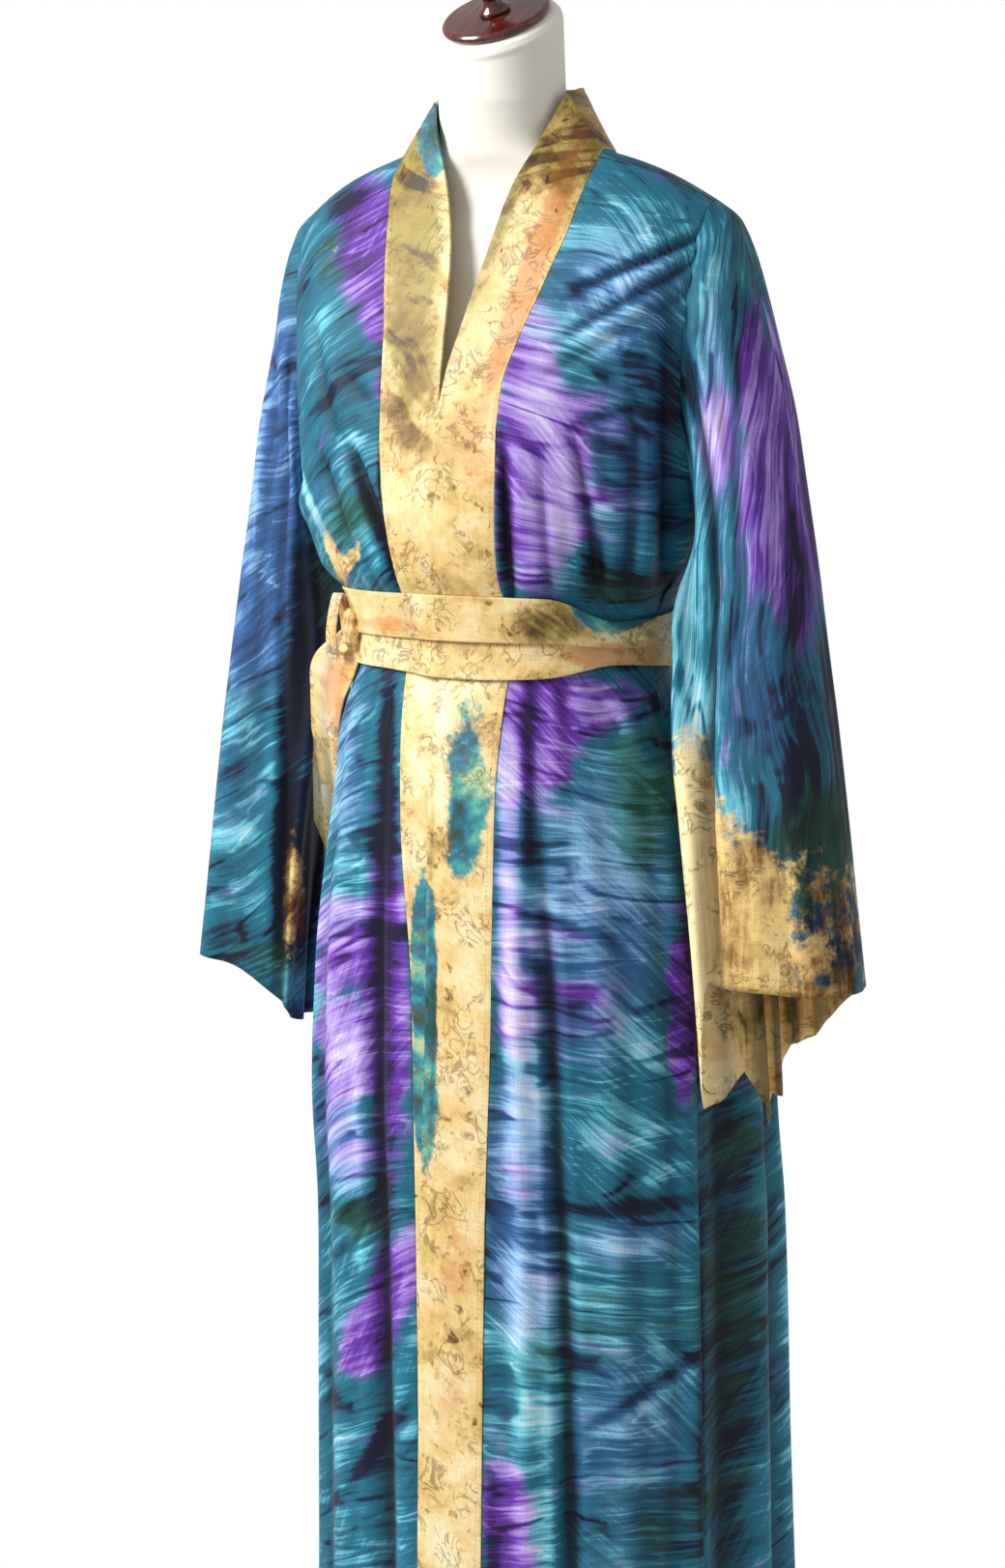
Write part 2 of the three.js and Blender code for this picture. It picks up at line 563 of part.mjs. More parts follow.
// The back, across from the wearer's left (first column) to the right.
function backGrid() {
  const half = FRONT_COLUMNS + NECKLINE_COLUMNS;
  const neckAt = FRONT_COLUMNS / half;
  const quarter = (side) => {
    const sideEdge = (level) => armhole(side, 1 - level / 2);
    const top = (across) =>
      across < neckAt ? shoulder(side, across / neckAt) : neckline(side, (across - neckAt) / (1 - neckAt));
    const bottom = (across) => backLow(side > 0 ? across / 2 : 1 - across / 2, UNDERARM_Z);
    return (across, level) => patch(sideEdge, spine, top, bottom, across, level);
  };
  const [left, right] = [quarter(1), quarter(-1)];
  const columns = [...Array(2 * half + 1).keys()];
  const at = (i, level) => (i <= half ? left(i / half, level) : right((2 * half - i) / half, level));
  const grid = [];
  for (let j = 0; j < YOKE_ROWS; j += 1) grid.push(columns.map((i) => at(i, j / YOKE_ROWS)));
  for (const z of BODY_ROWS) grid.push(columns.map((i) => backLow(i / (2 * half), z)));
  return grid;
}

// One half of the neckband, from the nape round the neckline and down the front to the hem.
function bandGrid(side) {
  const lapel = lapelTable(side);
  const across = [...Array(BAND_COLUMNS + 1).keys()].map((i) => i / BAND_COLUMNS);
  const grid = [];
  for (let i = 0; i < NECKLINE_COLUMNS; i += 1) {
    const turn = 1 - i / NECKLINE_COLUMNS;
    const at = (name) => column(COLLAR_EDGE, "turn", turn, name);
    const edge = vec(side * at("x"), at("y"), at("z"));
    grid.push(across.map((v) => neckline(side, turn).lerp(edge, v)));
  }
  for (let j = 0; j < YOKE_ROWS; j += 1) {
    const seam = frontSeam(side, j / YOKE_ROWS);
    const at = (name) => column(lapel, "z", seam.z, name);
    const edge = vec(at("edgeX"), at("edgeY"), at("edgeZ"));
    grid.push(across.map((v) => seam.clone().lerp(edge, v)));
  }
  for (const z of BODY_ROWS) grid.push(across.map((v) => bandPoint(side, v, z)));
  return grid;
}

// A grid with its wall directions, all turned to the outside of the garment.
function shape(grid, closed = false) {
  const normals = normalsOf(grid, closed, false);
  const probe = Math.floor(grid.length / 2);
  const middle = Math.floor(grid[0].length / 2);
  const p = grid[probe][middle];
  const centre = grid[probe].reduce((sum, q) => sum.add(q), vec(0, 0, 0)).divideScalar(grid[probe].length);
  const from = closed ? centre : vec(0, 0, p.z);
  if (normals[probe][middle].dot(p.clone().sub(from)) < 0) normals.forEach((row) => row.forEach((n) => n.negate()));
  return { grid, normals };
}

// Gives pieces that meet at a point one wall direction there.
function share(...directions) {
  const sum = directions.reduce((total, n) => total.add(n), vec(0, 0, 0)).normalize();
  directions.forEach((n) => n.copy(sum));
}

const robe = {
  back: shape(backGrid()),
  front_left: shape(frontGrid(1)),
  front_right: shape(frontGrid(-1)),
  band_left: shape(bandGrid(1)),
  band_right: shape(bandGrid(-1)),
};

function joinSeams() {
  const back = robe.back.normals;
  const last = back[0].length - 1;
  const halves = [
    { front: robe.front_left.normals, band: robe.band_left.normals, column: (i) => i },
    { front: robe.front_right.normals, band: robe.band_right.normals, column: (i) => last - i },
  ];
  for (const { front, band, column: at } of halves) {
    for (let i = 0; i < FRONT_COLUMNS; i += 1) share(front[0][i], back[0][at(i)]);
    share(front[0][FRONT_COLUMNS], back[0][at(FRONT_COLUMNS)], band[NECKLINE_COLUMNS][0]);
    for (let j = YOKE_ROWS; j < front.length; j += 1) share(front[j][0], back[j][at(0)]);
    for (let j = 1; j < front.length; j += 1) share(front[j][FRONT_COLUMNS], band[j + NECKLINE_COLUMNS][0]);
    for (let i = 1; i < NECKLINE_COLUMNS; i += 1) share(back[0][at(FRONT_COLUMNS + i)], band[NECKLINE_COLUMNS - i][0]);
  }
  const [left, right] = [halves[0].band[0], halves[1].band[0]];
  share(left[0], right[0], back[0][last / 2]);
  for (let i = 1; i <= BAND_COLUMNS; i += 1) share(left[i], right[i]);
}

// ---- sleeves ----

function sleevePoint(side, round, run) {
  const at = (name) => column(SLEEVE, "run", run, name);
  const cuff = side > 0 ? CUFF.left : CUFF.right;
  const [c, sn] = [Math.cos(2 * Math.PI * round), Math.sin(2 * Math.PI * round)];
  const square = c > 0 ? 1 : mix(1, SLEEVE_SQUARE, smooth(run / 4));
  const inward = (1 - signed(c, square)) / 2;
  const out = signed(sn, square);
  const towardsCuff = smooth((run - 4) / 8);
  const drop = 1 + (mix(at("dropBack"), at("dropFront"), smooth((sn + 0.5) / 1)) - 1) * cuff.drop;
  let rise = 0;
  for (const fold of SLEEVE_FOLDS) {
    const away = Math.abs(round - fold.at);
    if (away < fold.wide) rise += (fold.depth * (1 + Math.cos((Math.PI * away) / fold.wide))) / 2;
  }
  const [deep, topX, lowX] = [at("deep"), at("topX"), at("lowX")];
  const [topZ, lowZ] = [at("topZ") + cuff.top * towardsCuff, at("lowZ") + cuff.low * towardsCuff];
  const seamY = mix(SHOULDER_END.y, 0, inward);
  const p = vec(
    mix(topX, lowX, inward),
    mix(seamY, at("midY"), smooth(run / 2)) - deep * out,
    mix(topZ, lowZ, inward ** drop),
  );
  // facing is square to the ring, in the ring's own plane
  const chord = Math.hypot(topX - lowX, topZ - lowZ) / 2;
  const outwards = (1 - 2 * inward) / chord;
  const facing = vec((outwards * (topX - lowX)) / 2, (-out * chord) / deep, (outwards * (topZ - lowZ)) / 2);
  p.addScaledVector(facing.normalize(), rise * smooth((run - 0.6) / 4.5));
  const inner = smooth((run - 2) / 8) * cuff.inner;
  const whole = smooth((run - 1.5) / 3);
  p.x += inner * column(SLEEVE_INNER, "at", round, "x") + whole * cuff.x;
  p.y += inner * column(SLEEVE_INNER, "at", round, "y") + whole * cuff.y;
  return vec(side * p.x, p.y, p.z);
}

function makeSleeve(side) {
  const rounds = [...Array(SLEEVE_COLUMNS).keys()].map((i) => i / SLEEVE_COLUMNS);
  const grid = [];
  for (let k = 0; k <= SLEEVE_ROWS; k += 1) {
    const run = 12 * (k / SLEEVE_ROWS) ** 1.12;
    grid.push(rounds.map((round) => sleevePoint(side, round, run)));
  }
  const sleeve = shape(grid, true);
  const front = side > 0 ? robe.front_left.normals : robe.front_right.normals;
  const back = robe.back.normals;
  const backColumn = side > 0 ? 0 : back[0].length - 1;
  grid[0].forEach((p, i) => {
    const body = i <= YOKE_ROWS ? front[i][0] : back[SLEEVE_COLUMNS - i][backColumn];
    p.x += side * (SEAM_GAP + (CLOTH / 2) * Math.abs(body.x - sleeve.normals[0][i].x));
  });
  return wallOf(grid, sleeve.normals, CLOTH, true);
}

// ---- sash ----

// A point outside the robe: out is measured from the middle surface of whichever front is on top.
function outside(angle, z, out) {
  const plain = ring(angle, z);
  const onFront = Math.cos(angle) > 0;
  const comingDown = 1 - smooth((SASH_EDGE.from - plain.x) / (SASH_EDGE.from - SASH_EDGE.to));
  return ring(angle, z, out + (onFront ? liftAt(plain.x) * comingDown : 0));
}

function makeTurn({ top, bottom, outTop, outMiddle, outBottom }) {
  const angles = [...Array(SASH_COLUMNS).keys()].map((i) => (2 * Math.PI * i) / SASH_COLUMNS - Math.PI);
  const rows = [
    { share: 0, out: outTop },
    { share: 0.3, out: outMiddle },
    { share: 0.75, out: mix(outMiddle, outBottom, 0.8) },
    { share: 1, out: outBottom },
  ];
  const edge = (angle, name) => column(SASH_EDGES, "angle", (angle * 180) / Math.PI, name);
  const level = (angle, share) => mix(edge(angle, top), edge(angle, bottom), share);
  const grid = rows.map(({ share: v, out }) => angles.map((angle) => outside(angle, level(angle, v), out)));
  const turn = shape(grid, true);
  return wallOf(turn.grid, turn.normals, DOUBLED, true);
}

function makeSashEnd({ topZ, endZ, from, to, topWidth, width, outTop, outEnd }) {
  const rows = 9;
  const grid = [];
  for (let j = 0; j <= rows; j += 1) {
    const t = j / rows;
    const z = mix(topZ, endZ, t);
    const middle = radians(mix(from, to, t));
    const halfAngle = mix(topWidth, width, smooth(t * 2)) / 2 / column(BODY, "z", z, "half");
    const out = mix(outTop, outEnd, smooth(t * 1.2));
    grid.push([-1, -0.35, 0.35, 1].map((v) => ring(middle + v * halfAngle, z, out + (v * v < 0.5 ? 2 : 0))));
  }
  const end = shape(grid);
  return wallOf(end.grid, end.normals, CLOTH, false);
}

// Directions at a place on the robe: out from it and along it.
function placeAt(angleDegrees, z, out) {
  const angle = radians(angleDegrees);
  const at = ring(angle, z, out);
  const outward = at.clone().sub(ring(angle, z)).normalize();
  return { at, outward, along: vec(0, 0, 1).cross(outward) };
}

function makeKnot() {
  const { at, outward, along } = placeAt(KNOT.angle, KNOT.z, KNOT.out);
  const rings = [];
  const rows = 8;
  for (let j = 1; j < rows; j += 1) {
    const up = Math.PI * (j / rows - 0.5);
    const wide = signed(Math.cos(up), 0.8);
    const groove = 1 + 0.07 * Math.cos(6 * up);
    rings.push(
      [...Array(16).keys()].map((i) => {
        const turn = (2 * Math.PI * i) / 16;
        const p = at.clone().addScaledVector(along, KNOT.across * wide * groove * signed(Math.cos(turn), 0.85));
        p.addScaledVector(outward, KNOT.through * wide * groove * signed(Math.sin(turn), 0.85));
        p.z += KNOT.tall * signed(Math.sin(up), 0.9);
        return p;
      }),
    );
  }
  return solidOf(rings, at.clone().setZ(at.z - KNOT.tall), at.clone().setZ(at.z + KNOT.tall));
}

function makeLoop() {
  const { at, outward, along } = placeAt(LOOP.angle, LOOP.z, LOOP.out);
  const rows = [-1, 0, 1].map((v) =>
    [...Array(20).keys()].map((i) => {
      const turn = (2 * Math.PI * i) / 20;
      const p = at.clone().addScaledVector(outward, LOOP.through * Math.cos(turn) + (v === 0 ? 1.5 : 0) * Math.cos(turn));
      p.addScaledVector(along, (v * LOOP.width) / 2);
      p.z += LOOP.tall * Math.sin(turn);
      return p;
    }),
  );
  const loop = shape(rows, true);
  return wallOf(loop.grid, loop.normals, CLOTH, true);
}

// ---- dress form and stand ----

// A closed solid of rings stacked from a first middle point to a last one.
function solidOf(rings, first, last) {
  const columns = rings[0].length;
  const positions = rings.flat().flatMap((p) => p.toArray());
  positions.push(...first.toArray(), ...last.toArray());
  const at = (j, i) => j * columns + (i % columns);
  const [firstAt, lastAt] = [rings.length * columns, rings.length * columns + 1];
  const faces = [];
  for (let i = 0; i < columns; i += 1) {
    faces.push(firstAt, at(0, i + 1), at(0, i));
    faces.push(lastAt, at(rings.length - 1, i), at(rings.length - 1, i + 1));
    for (let j = 0; j < rings.length - 1; j += 1)
      faces.push(at(j, i), at(j, i + 1), at(j + 1, i + 1), at(j, i), at(j + 1, i + 1), at(j + 1, i));
  }
  return closedBody(positions, faces);
}

function turnedProfile(profile, columns, place) {
  const rings = profile.map(({ r, h }) =>
    [...Array(columns).keys()].map((i) => {
      const turn = (2 * Math.PI * i) / columns;
      return place(r * Math.cos(turn), r * Math.sin(turn), h);
    }),
  );
  return solidOf(rings, place(0, 0, profile[0].h), place(0, 0, profile[profile.length - 1].h));
}

// Places a point of something standing on the tilted top of the neck.
function onNeck(x, y, h) {
  const tilt = radians(NECK_TOP.tilt);
  return vec(
    x,
    NECK_TOP.y + y * Math.cos(tilt) - h * Math.sin(tilt),
    NECK_TOP.z + y * Math.sin(tilt) + h * Math.cos(tilt),
  );
}

function makeTorso() {
  const turns = [...Array(FORM_COLUMNS).keys()].map((i) => (2 * Math.PI * i) / FORM_COLUMNS);
  const rings = [...FORM].reverse().map(({ z, half, front, back, lean }) =>
    turns.map((turn) => {
      const depth = Math.sin(turn) < 0 ? front : back;
      const square = z > 1480 ? 1 : 0.94;
      return vec(half * signed(Math.cos(turn), square), depth * signed(Math.sin(turn), square) - lean, z);
    }),
  );
  for (const { r, h } of NECK_RIM) rings.push(turns.map((turn) => onNeck(r * Math.cos(turn), r * Math.sin(turn), h)));
  return solidOf(rings, vec(0, 0, FORM[FORM.length - 1].z), onNeck(0, 0, 0));
}

function makeCap() {
  const { radius, thick, round } = CAP;
  const profile = [
    { r: radius - round, h: SEAM_GAP },
    { r: radius, h: SEAM_GAP + round },
    { r: radius, h: SEAM_GAP + thick - round },
    { r: radius - round, h: SEAM_GAP + thick },
  ];
  return turnedProfile(profile, 40, onNeck);
}

function makeFinial() {
  const foot = CAP.thick + 2 * SEAM_GAP;
  return turnedProfile(FINIAL, 24, (x, y, h) => onNeck(x, y, foot + h));
}

function makePole() {
  const foot = BASE_PROFILE[BASE_PROFILE.length - 1].h + SEAM_GAP;
  const top = FORM[FORM.length - 1].z - SEAM_GAP;
  return turnedProfile([{ r: POLE_RADIUS, h: foot }, { r: POLE_RADIUS, h: top }], 24, vec);
}

// ---- the whole part ----

function addPart(group, name, geometry, { color, roughness, metalness }) {
  const mesh = new THREE.Mesh(geometry, new THREE.MeshStandardMaterial({ color, roughness, metalness }));
  mesh.name = name;
  group.add(mesh);
}

function panel(name, edges) {
  const { grid, normals } = robe[name];
  edges.forEach((edge) => drawBack(grid, edge));
  return wallOf(grid, normals, name.startsWith("band") ? DOUBLED : CLOTH, false);
}

function buildPart() {
  const group = new THREE.Group();
  group.name = "kimono_duster_on_form";
  joinSeams();
  const sleeves = { sleeve_left: makeSleeve(1), sleeve_right: makeSleeve(-1) };
  for (const name of ["back", "front_left", "front_right"])
    addPart(group, name, panel(name, ["top", "left", "right"]), PAINT.silk);
  for (const [name, geometry] of Object.entries(sleeves)) addPart(group, name, geometry, PAINT.silk);
  for (const name of ["band_left", "band_right"]) addPart(group, name, panel(name, ["top", "left"]), PAINT.gold);
  for (const [name, turn] of Object.entries(SASH_TURNS)) addPart(group, name, makeTurn(turn), PAINT.gold);
  addPart(group, "belt_knot", makeKnot(), PAINT.gold);
  addPart(group, "belt_loop", makeLoop(), PAINT.gold);
  for (const [name, end] of Object.entries(SASH_ENDS)) addPart(group, name, makeSashEnd(end), PAINT.gold);
  addPart(group, "form_torso", makeTorso(), PAINT.jersey);
  addPart(group, "neck_cap", makeCap(), PAINT.mahogany);
  addPart(group, "finial", makeFinial(), PAINT.mahogany);
  addPart(group, "stand_pole", makePole(), PAINT.black);
  addPart(group, "stand_base", turnedProfile(BASE_PROFILE, 64, vec), PAINT.black);
  return group;
}

export default buildPart();
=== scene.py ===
import math
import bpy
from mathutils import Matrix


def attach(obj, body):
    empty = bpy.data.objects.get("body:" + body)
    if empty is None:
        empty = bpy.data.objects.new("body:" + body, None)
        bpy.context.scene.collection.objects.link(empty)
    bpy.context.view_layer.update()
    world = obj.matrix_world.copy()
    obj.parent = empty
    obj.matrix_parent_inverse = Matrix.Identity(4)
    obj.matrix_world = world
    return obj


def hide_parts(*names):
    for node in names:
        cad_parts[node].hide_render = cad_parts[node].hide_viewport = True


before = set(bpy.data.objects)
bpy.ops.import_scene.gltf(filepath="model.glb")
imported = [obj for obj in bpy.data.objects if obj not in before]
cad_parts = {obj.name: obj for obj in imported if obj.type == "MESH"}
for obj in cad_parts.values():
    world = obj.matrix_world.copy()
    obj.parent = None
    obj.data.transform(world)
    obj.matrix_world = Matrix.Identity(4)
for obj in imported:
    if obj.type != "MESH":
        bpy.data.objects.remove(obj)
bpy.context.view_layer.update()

from types import SimpleNamespace

import bmesh
import bpy
import numpy as np
from mathutils import Matrix, Vector

bl_info = {
    "name": "Kimono duster on a dress form",
    "version": (1, 0, 0),
    "blender": (4, 5, 0),
    "location": "3D View > Sidebar > Duster",
    "description": "Makes a marbled silk kimono duster with its sash, on a limbless dress form",
    "category": "Object",
}

# Lengths in the tables are millimetres, in the frame's axes: +Z up, the front faces -Y and the
# wearer's left is +X. Points are turned into metres when a mesh is filled.
MM = 0.001

# ---- the robe's driving shapes, as in the part's source ----

WAIST_Z = 1043
UNDERARM_Z = 1172
HEM_Z = 95
SHOULDER_END = (195, -4, 1408)
NECK_POINT = (97, -20, 1452)
SHOULDER_CROWN = 5
ARMHOLE_DEPTH = 48
NAPE_Y, NAPE_Z = 56, 1452
NECKLINE_CENTRE_Y = -12
BAND_WIDTH = 60
ROUNDNESS = 0.92
OVERLAP_LIFT = 5
LIFT_FULL_X, LIFT_NONE_X = 62, 125


def table(names, *rows):
    """A table of rows as one array for each named column."""
    return {name: np.array([row[k] for row in rows], float) for k, name in enumerate(names.split())}


BODY = table(
    "z half front back centre shift seam",
    (1172, 178, 128, 112, 0, 0, 90), (1130, 168, 124, 109, 0, 0, 90),
    (1100, 158, 118, 105, 0, 0, 89), (1082, 147, 109, 100, 0, 0, 88),
    (1062, 140, 103, 96, 0, 0, 87), (1043, 138, 101, 94, 0, 0, 86),
    (1020, 140, 103, 97, 1, 0, 85), (1000, 146, 108, 103, 3, 1, 83),
    (960, 161, 114, 119, 9, 3, 80), (923, 169, 118, 133, 16, 6, 77),
    (840, 184, 121, 154, 25, 8, 71), (757, 194, 123, 169, 31, 9, 67),
    (640, 199, 124, 180, 34, 10, 65), (550, 199, 124, 186, 36, 14, 64),
    (240, 201, 126, 195, 38, 18, 64), (95, 204, 127, 200, 39, 19, 64),
)
SKIRT_FOLDS = table(
    "at hem wide depth",
    (17, 17, 5, 5), (24, 29, 5, -9), (36, 44, 9, 5), (50, 54, 9, 3), (64, 61, 8, 8), (78, 73, 9, -9),
    (92, 87, 9, 10), (106, 101, 9, -9), (119, 115, 9, 12), (133, 129, 8, -10), (147, 144, 8, 12),
    (162, 160, 8, -10), (176, 175, 8, 11), (191, 190, 8, -11), (207, 205, 8, 12), (222, 219, 8, -10),
    (238, 234, 9, 11), (254, 249, 9, -9), (268, 264, 9, 8), (285, 282, 9, -7), (303, 302, 10, 9),
    (317, 323, 12, 6), (336, 339, 8, -13), (347, 347, 5, 3),
)
BODICE_FOLDS = table(
    "at hem wide depth",
    (32, 30, 8, 5), (48, 50, 8, -5), (64, 68, 9, 5), (112, 115, 9, 6), (132, 134, 9, -5),
    (152, 152, 9, 6), (172, 171, 8, -5), (192, 192, 9, 6), (212, 211, 9, -5), (234, 232, 9, 6),
    (296, 293, 9, 5), (314, 311, 8, -6), (330, 329, 7, 4),
)
# The right front blouses out over the sash: how far, at each height, round one angle.
BLOUSE = table("z out", (1172, 12), (1155, 18), (1130, 11), (1110, 8), (1092, 7), (1078, 0), (1060, 0))
BLOUSE_ANGLE, BLOUSE_WIDE = -60, 24
FRONT_SEAM = table(
    "z left right",
    (1172, 56, -55), (1130, 54, -50), (1085, 53, -45), (1020, 53, -45), (900, 51, -40),
    (757, 51, -27), (550, 46, -22), (240, 44, -17), (95, 44, -15),
)
LEFT_LAPEL = (
    (1452, 97, -20, 63, -22, 1500), (1430, 98, -44, 56, -50, 1463),
    (1395, 98, -72, 44, -79, 1420), (1345, 88, -98, 33, -101, 1364),
    (1297, 72, -114, 20, -117, 1309), (1257, 60, -122, 8, -126, 1263),
    (1210, 57, -127, 1, -132, 1210),
)
RIGHT_LAPEL = (
    (1452, -97, -20, -55, -38, 1495), (1430, -89, -50, -36, -65, 1466),
    (1395, -79, -74, -21, -73, 1416), (1345, -68, -97, -6, -94, 1358),
    (1297, -60, -111, 0, -113, 1299), (1257, -58, -118, 1, -121, 1257),
    (1210, -57, -122, 4, -126, 1210),
)
SPINE = table("z y", (1452, 56), (1425, 74), (1385, 94), (1330, 107), (1260, 113), (1172, 112))
COLLAR_EDGE = table(
    "turn x y z", (0, 62, -22, 1498), (0.3, 61, 6, 1506), (0.65, 40, 36, 1508), (1, 0, 50, 1509)
)
SLEEVE = table(
    "run topX topZ lowX lowZ deep midY dropFront dropBack",
    (0, 195, 1408, 178, 1172, 48, -2, 1, 1), (1, 208, 1398, 183, 1160, 50, -2, 1, 1),
    (2, 218, 1377, 187, 1146, 51, -1, 1, 1), (3, 229, 1341, 190, 1128, 52, 0, 1, 1),
    (4, 241, 1298, 192, 1104, 52, 0, 1.1, 1), (5, 254, 1244, 192, 1074, 52, 0, 1.2, 1.1),
    (6, 265, 1182, 191, 1038, 51, -1, 1.4, 1.1), (7, 276, 1116, 191, 996, 50, -2, 1.8, 1.2),
    (8, 286, 1048, 195, 946, 50, -3, 2.4, 1.3), (9, 297, 980, 205, 888, 49, -4, 3.4, 1.4),
    (10, 307, 908, 214, 820, 48, -5, 4.8, 1.5), (11, 316, 838, 221, 740, 47, -6, 6.8, 1.6),
    (12, 325, 770, 227, 648, 46, -7, 9.5, 1.7),
)
CUFF_POINTS = (
    (0.386, 0.41, 0.445, 0.485, 0.515, 0.535, 0.56, 0.6, 0.66, 0.74),
    (0, 20, 26, 48, 10, -4, 18, 6, 30, 0),
)
STRIP_LINE = (
    (0, 0.55, 0.6, 0.68, 0.76, 0.84, 0.92, 1),
    (0.26, 0.28, 0.292, 0.308, 0.342, 0.365, 0.377, 0.386),
)
CUFF = {
    1: {"top": 0, "low": 0, "drop": 1, "x": 0, "y": 0, "inner": 1, "level": 1},
    -1: {"top": -26, "low": 42, "drop": 0.45, "x": -7, "y": 8, "inner": 0.45, "level": 0},
}
CUFF_STEP = 0.386  # where the front layer of the left cuff turns down to the strip beside the body
SLEEVE_INNER = table(
    "at x y",
    (0.27, 0, 0), (0.32, -8, 0), (0.36, -17, 3), (0.4, -30, -11), (0.45, -14, -2), (0.5, 4, 9),
    (0.56, 6, 6), (0.66, 0, 0),
)
SLEEVE_SQUARE = 0.72
SLEEVE_FOLDS = table(
    "at wide depth",
    (0.14, 0.07, 4), (0.24, 0.07, -4), (0.6, 0.06, -5), (0.7, 0.07, 5), (0.8, 0.07, -5), (0.9, 0.07, 4),
)
SASH_EDGES = table(
    "angle high split tuck low",
    (-180, 1080, 1045, 1051, 1014), (-75, 1083, 1046, 1052, 1020), (-30, 1084, 1047, 1053, 1020),
    (5, 1085, 1047, 1053, 1016), (32, 1084, 1047, 1053, 1018), (62, 1064, 1042, 1048, 1028),
    (85, 1066, 1041, 1047, 1025), (130, 1077, 1044, 1050, 1016), (180, 1080, 1045, 1051, 1014),
)
SASH_TURNS = {
    "belt_turn_upper": {"top": "high", "bottom": "split", "out": (3.6, 6.3, 6.9)},
    "belt_turn_lower": {"top": "tuck", "bottom": "low", "out": (3.5, 3.9, 3.7)},
}
SASH_COMES_DOWN = (-13, -36)
KNOT = {"angle": -50, "z": 1050, "out": 12, "across": 8, "through": 7, "tall": 17}
LOOP = {"angle": -57, "z": 1052, "out": 19, "through": 9, "tall": 26, "width": 11, "turn": 40}
SASH_ENDS = {
    "belt_end_front": {
        "z": (1074, 815), "inner": (-44, -80), "outer": (-150, -177), "deep": (-30, -85), "slant": 0.22,
    },
    "belt_end_back": {
        "z": (1062, 758), "inner": (-66, -90), "outer": (-146, -168), "deep": (-34, -104), "slant": 0.15,
    },
}
FORM = table(
    "z half front back lean",
    (1496, 54, 54, 54, 19), (1468, 55, 53, 55, 15), (1450, 66, 53, 57, 12), (1440, 92.7, 49, 52.6, 11),
    (1428, 118.6, 47, 52.6, 9), (1408, 146, 49, 57, 6), (1382, 162, 60, 66, 4), (1340, 165, 74, 76, 2),
    (1280, 162, 94, 82, 0), (1225, 154, 110, 86, 0), (1180, 145, 108, 86, 0), (1120, 131, 97, 84, 0),
    (1050, 120, 87, 80, 0), (990, 130, 92, 88, 0), (920, 150, 101, 106, 0), (850, 162, 105, 118, 0),
    (790, 160, 102, 116, 0), (760, 150, 94, 106, 0),
)
NECK_TOP_Y, NECK_TOP_Z, NECK_TILT = -27, 1563, 32
NECK_RIM = ((54, -14), (54, -7), (51, -2), (47, 0))
CAP_PROFILE = ((0, 0.3), (44.5, 0.3), (47, 2.8), (47, 5.8), (44.5, 8.3), (0, 8.3))
FINIAL_PROFILE = (
    (0, 0), (13, 0), (14, 3), (9, 7), (7, 12), (10, 17), (17, 25), (20, 34), (18, 43), (11, 51), (0, 51),
)
FINIAL_FOOT = 8.6
POLE_PROFILE = ((0, 50.3), (13, 50.3), (13, 759.7), (0, 759.7))
BASE_PROFILE = (
    (0, 0), (156, 0), (160, 5), (160, 14), (153, 20), (44, 24), (30, 30), (28, 50), (0, 50),
)

# ---- relief that only the finished cloth has ----

# Drag lines of the bodice. across runs along a level line that is turned VIEW_TURN degrees from
# the wearer's left towards the back, and up is the height.
# Columns: across and up where it starts, across and up where it ends, wide, depth.
VIEW_TURN = 30
CREASES = {
    "front_left": (
        (155, 1379, 50, 1334, 4, 4.5), (154, 1363, 40, 1295, 4, 3), (152, 1338, 22, 1264, 5, 2.5),
        (104, 1242, 46, 1225, 4, 2.5), (98, 1173, 54, 1162, 4, 2), (-10, 1214, -1, 1081, 4.5, 6),
        (50, 1214, 74, 1081, 4.5, 3.5), (22, 1194, 30, 1081, 4, 2), (98, 1242, 94, 1081, 6, 4),
        (126, 1338, 125, 1081, 9, 6),
    ),
    "front_right": (
        (-136, 1208, -90, 1089, 5, 7), (-162, 1202, -128, 1097, 4, 3),
        (-150, 1274, -110, 1234, 5, 2), (-171, 1314, -146, 1202, 5, 2.5),
        (-109, 1338, -102, 1210, 5, 2),
    ),
}
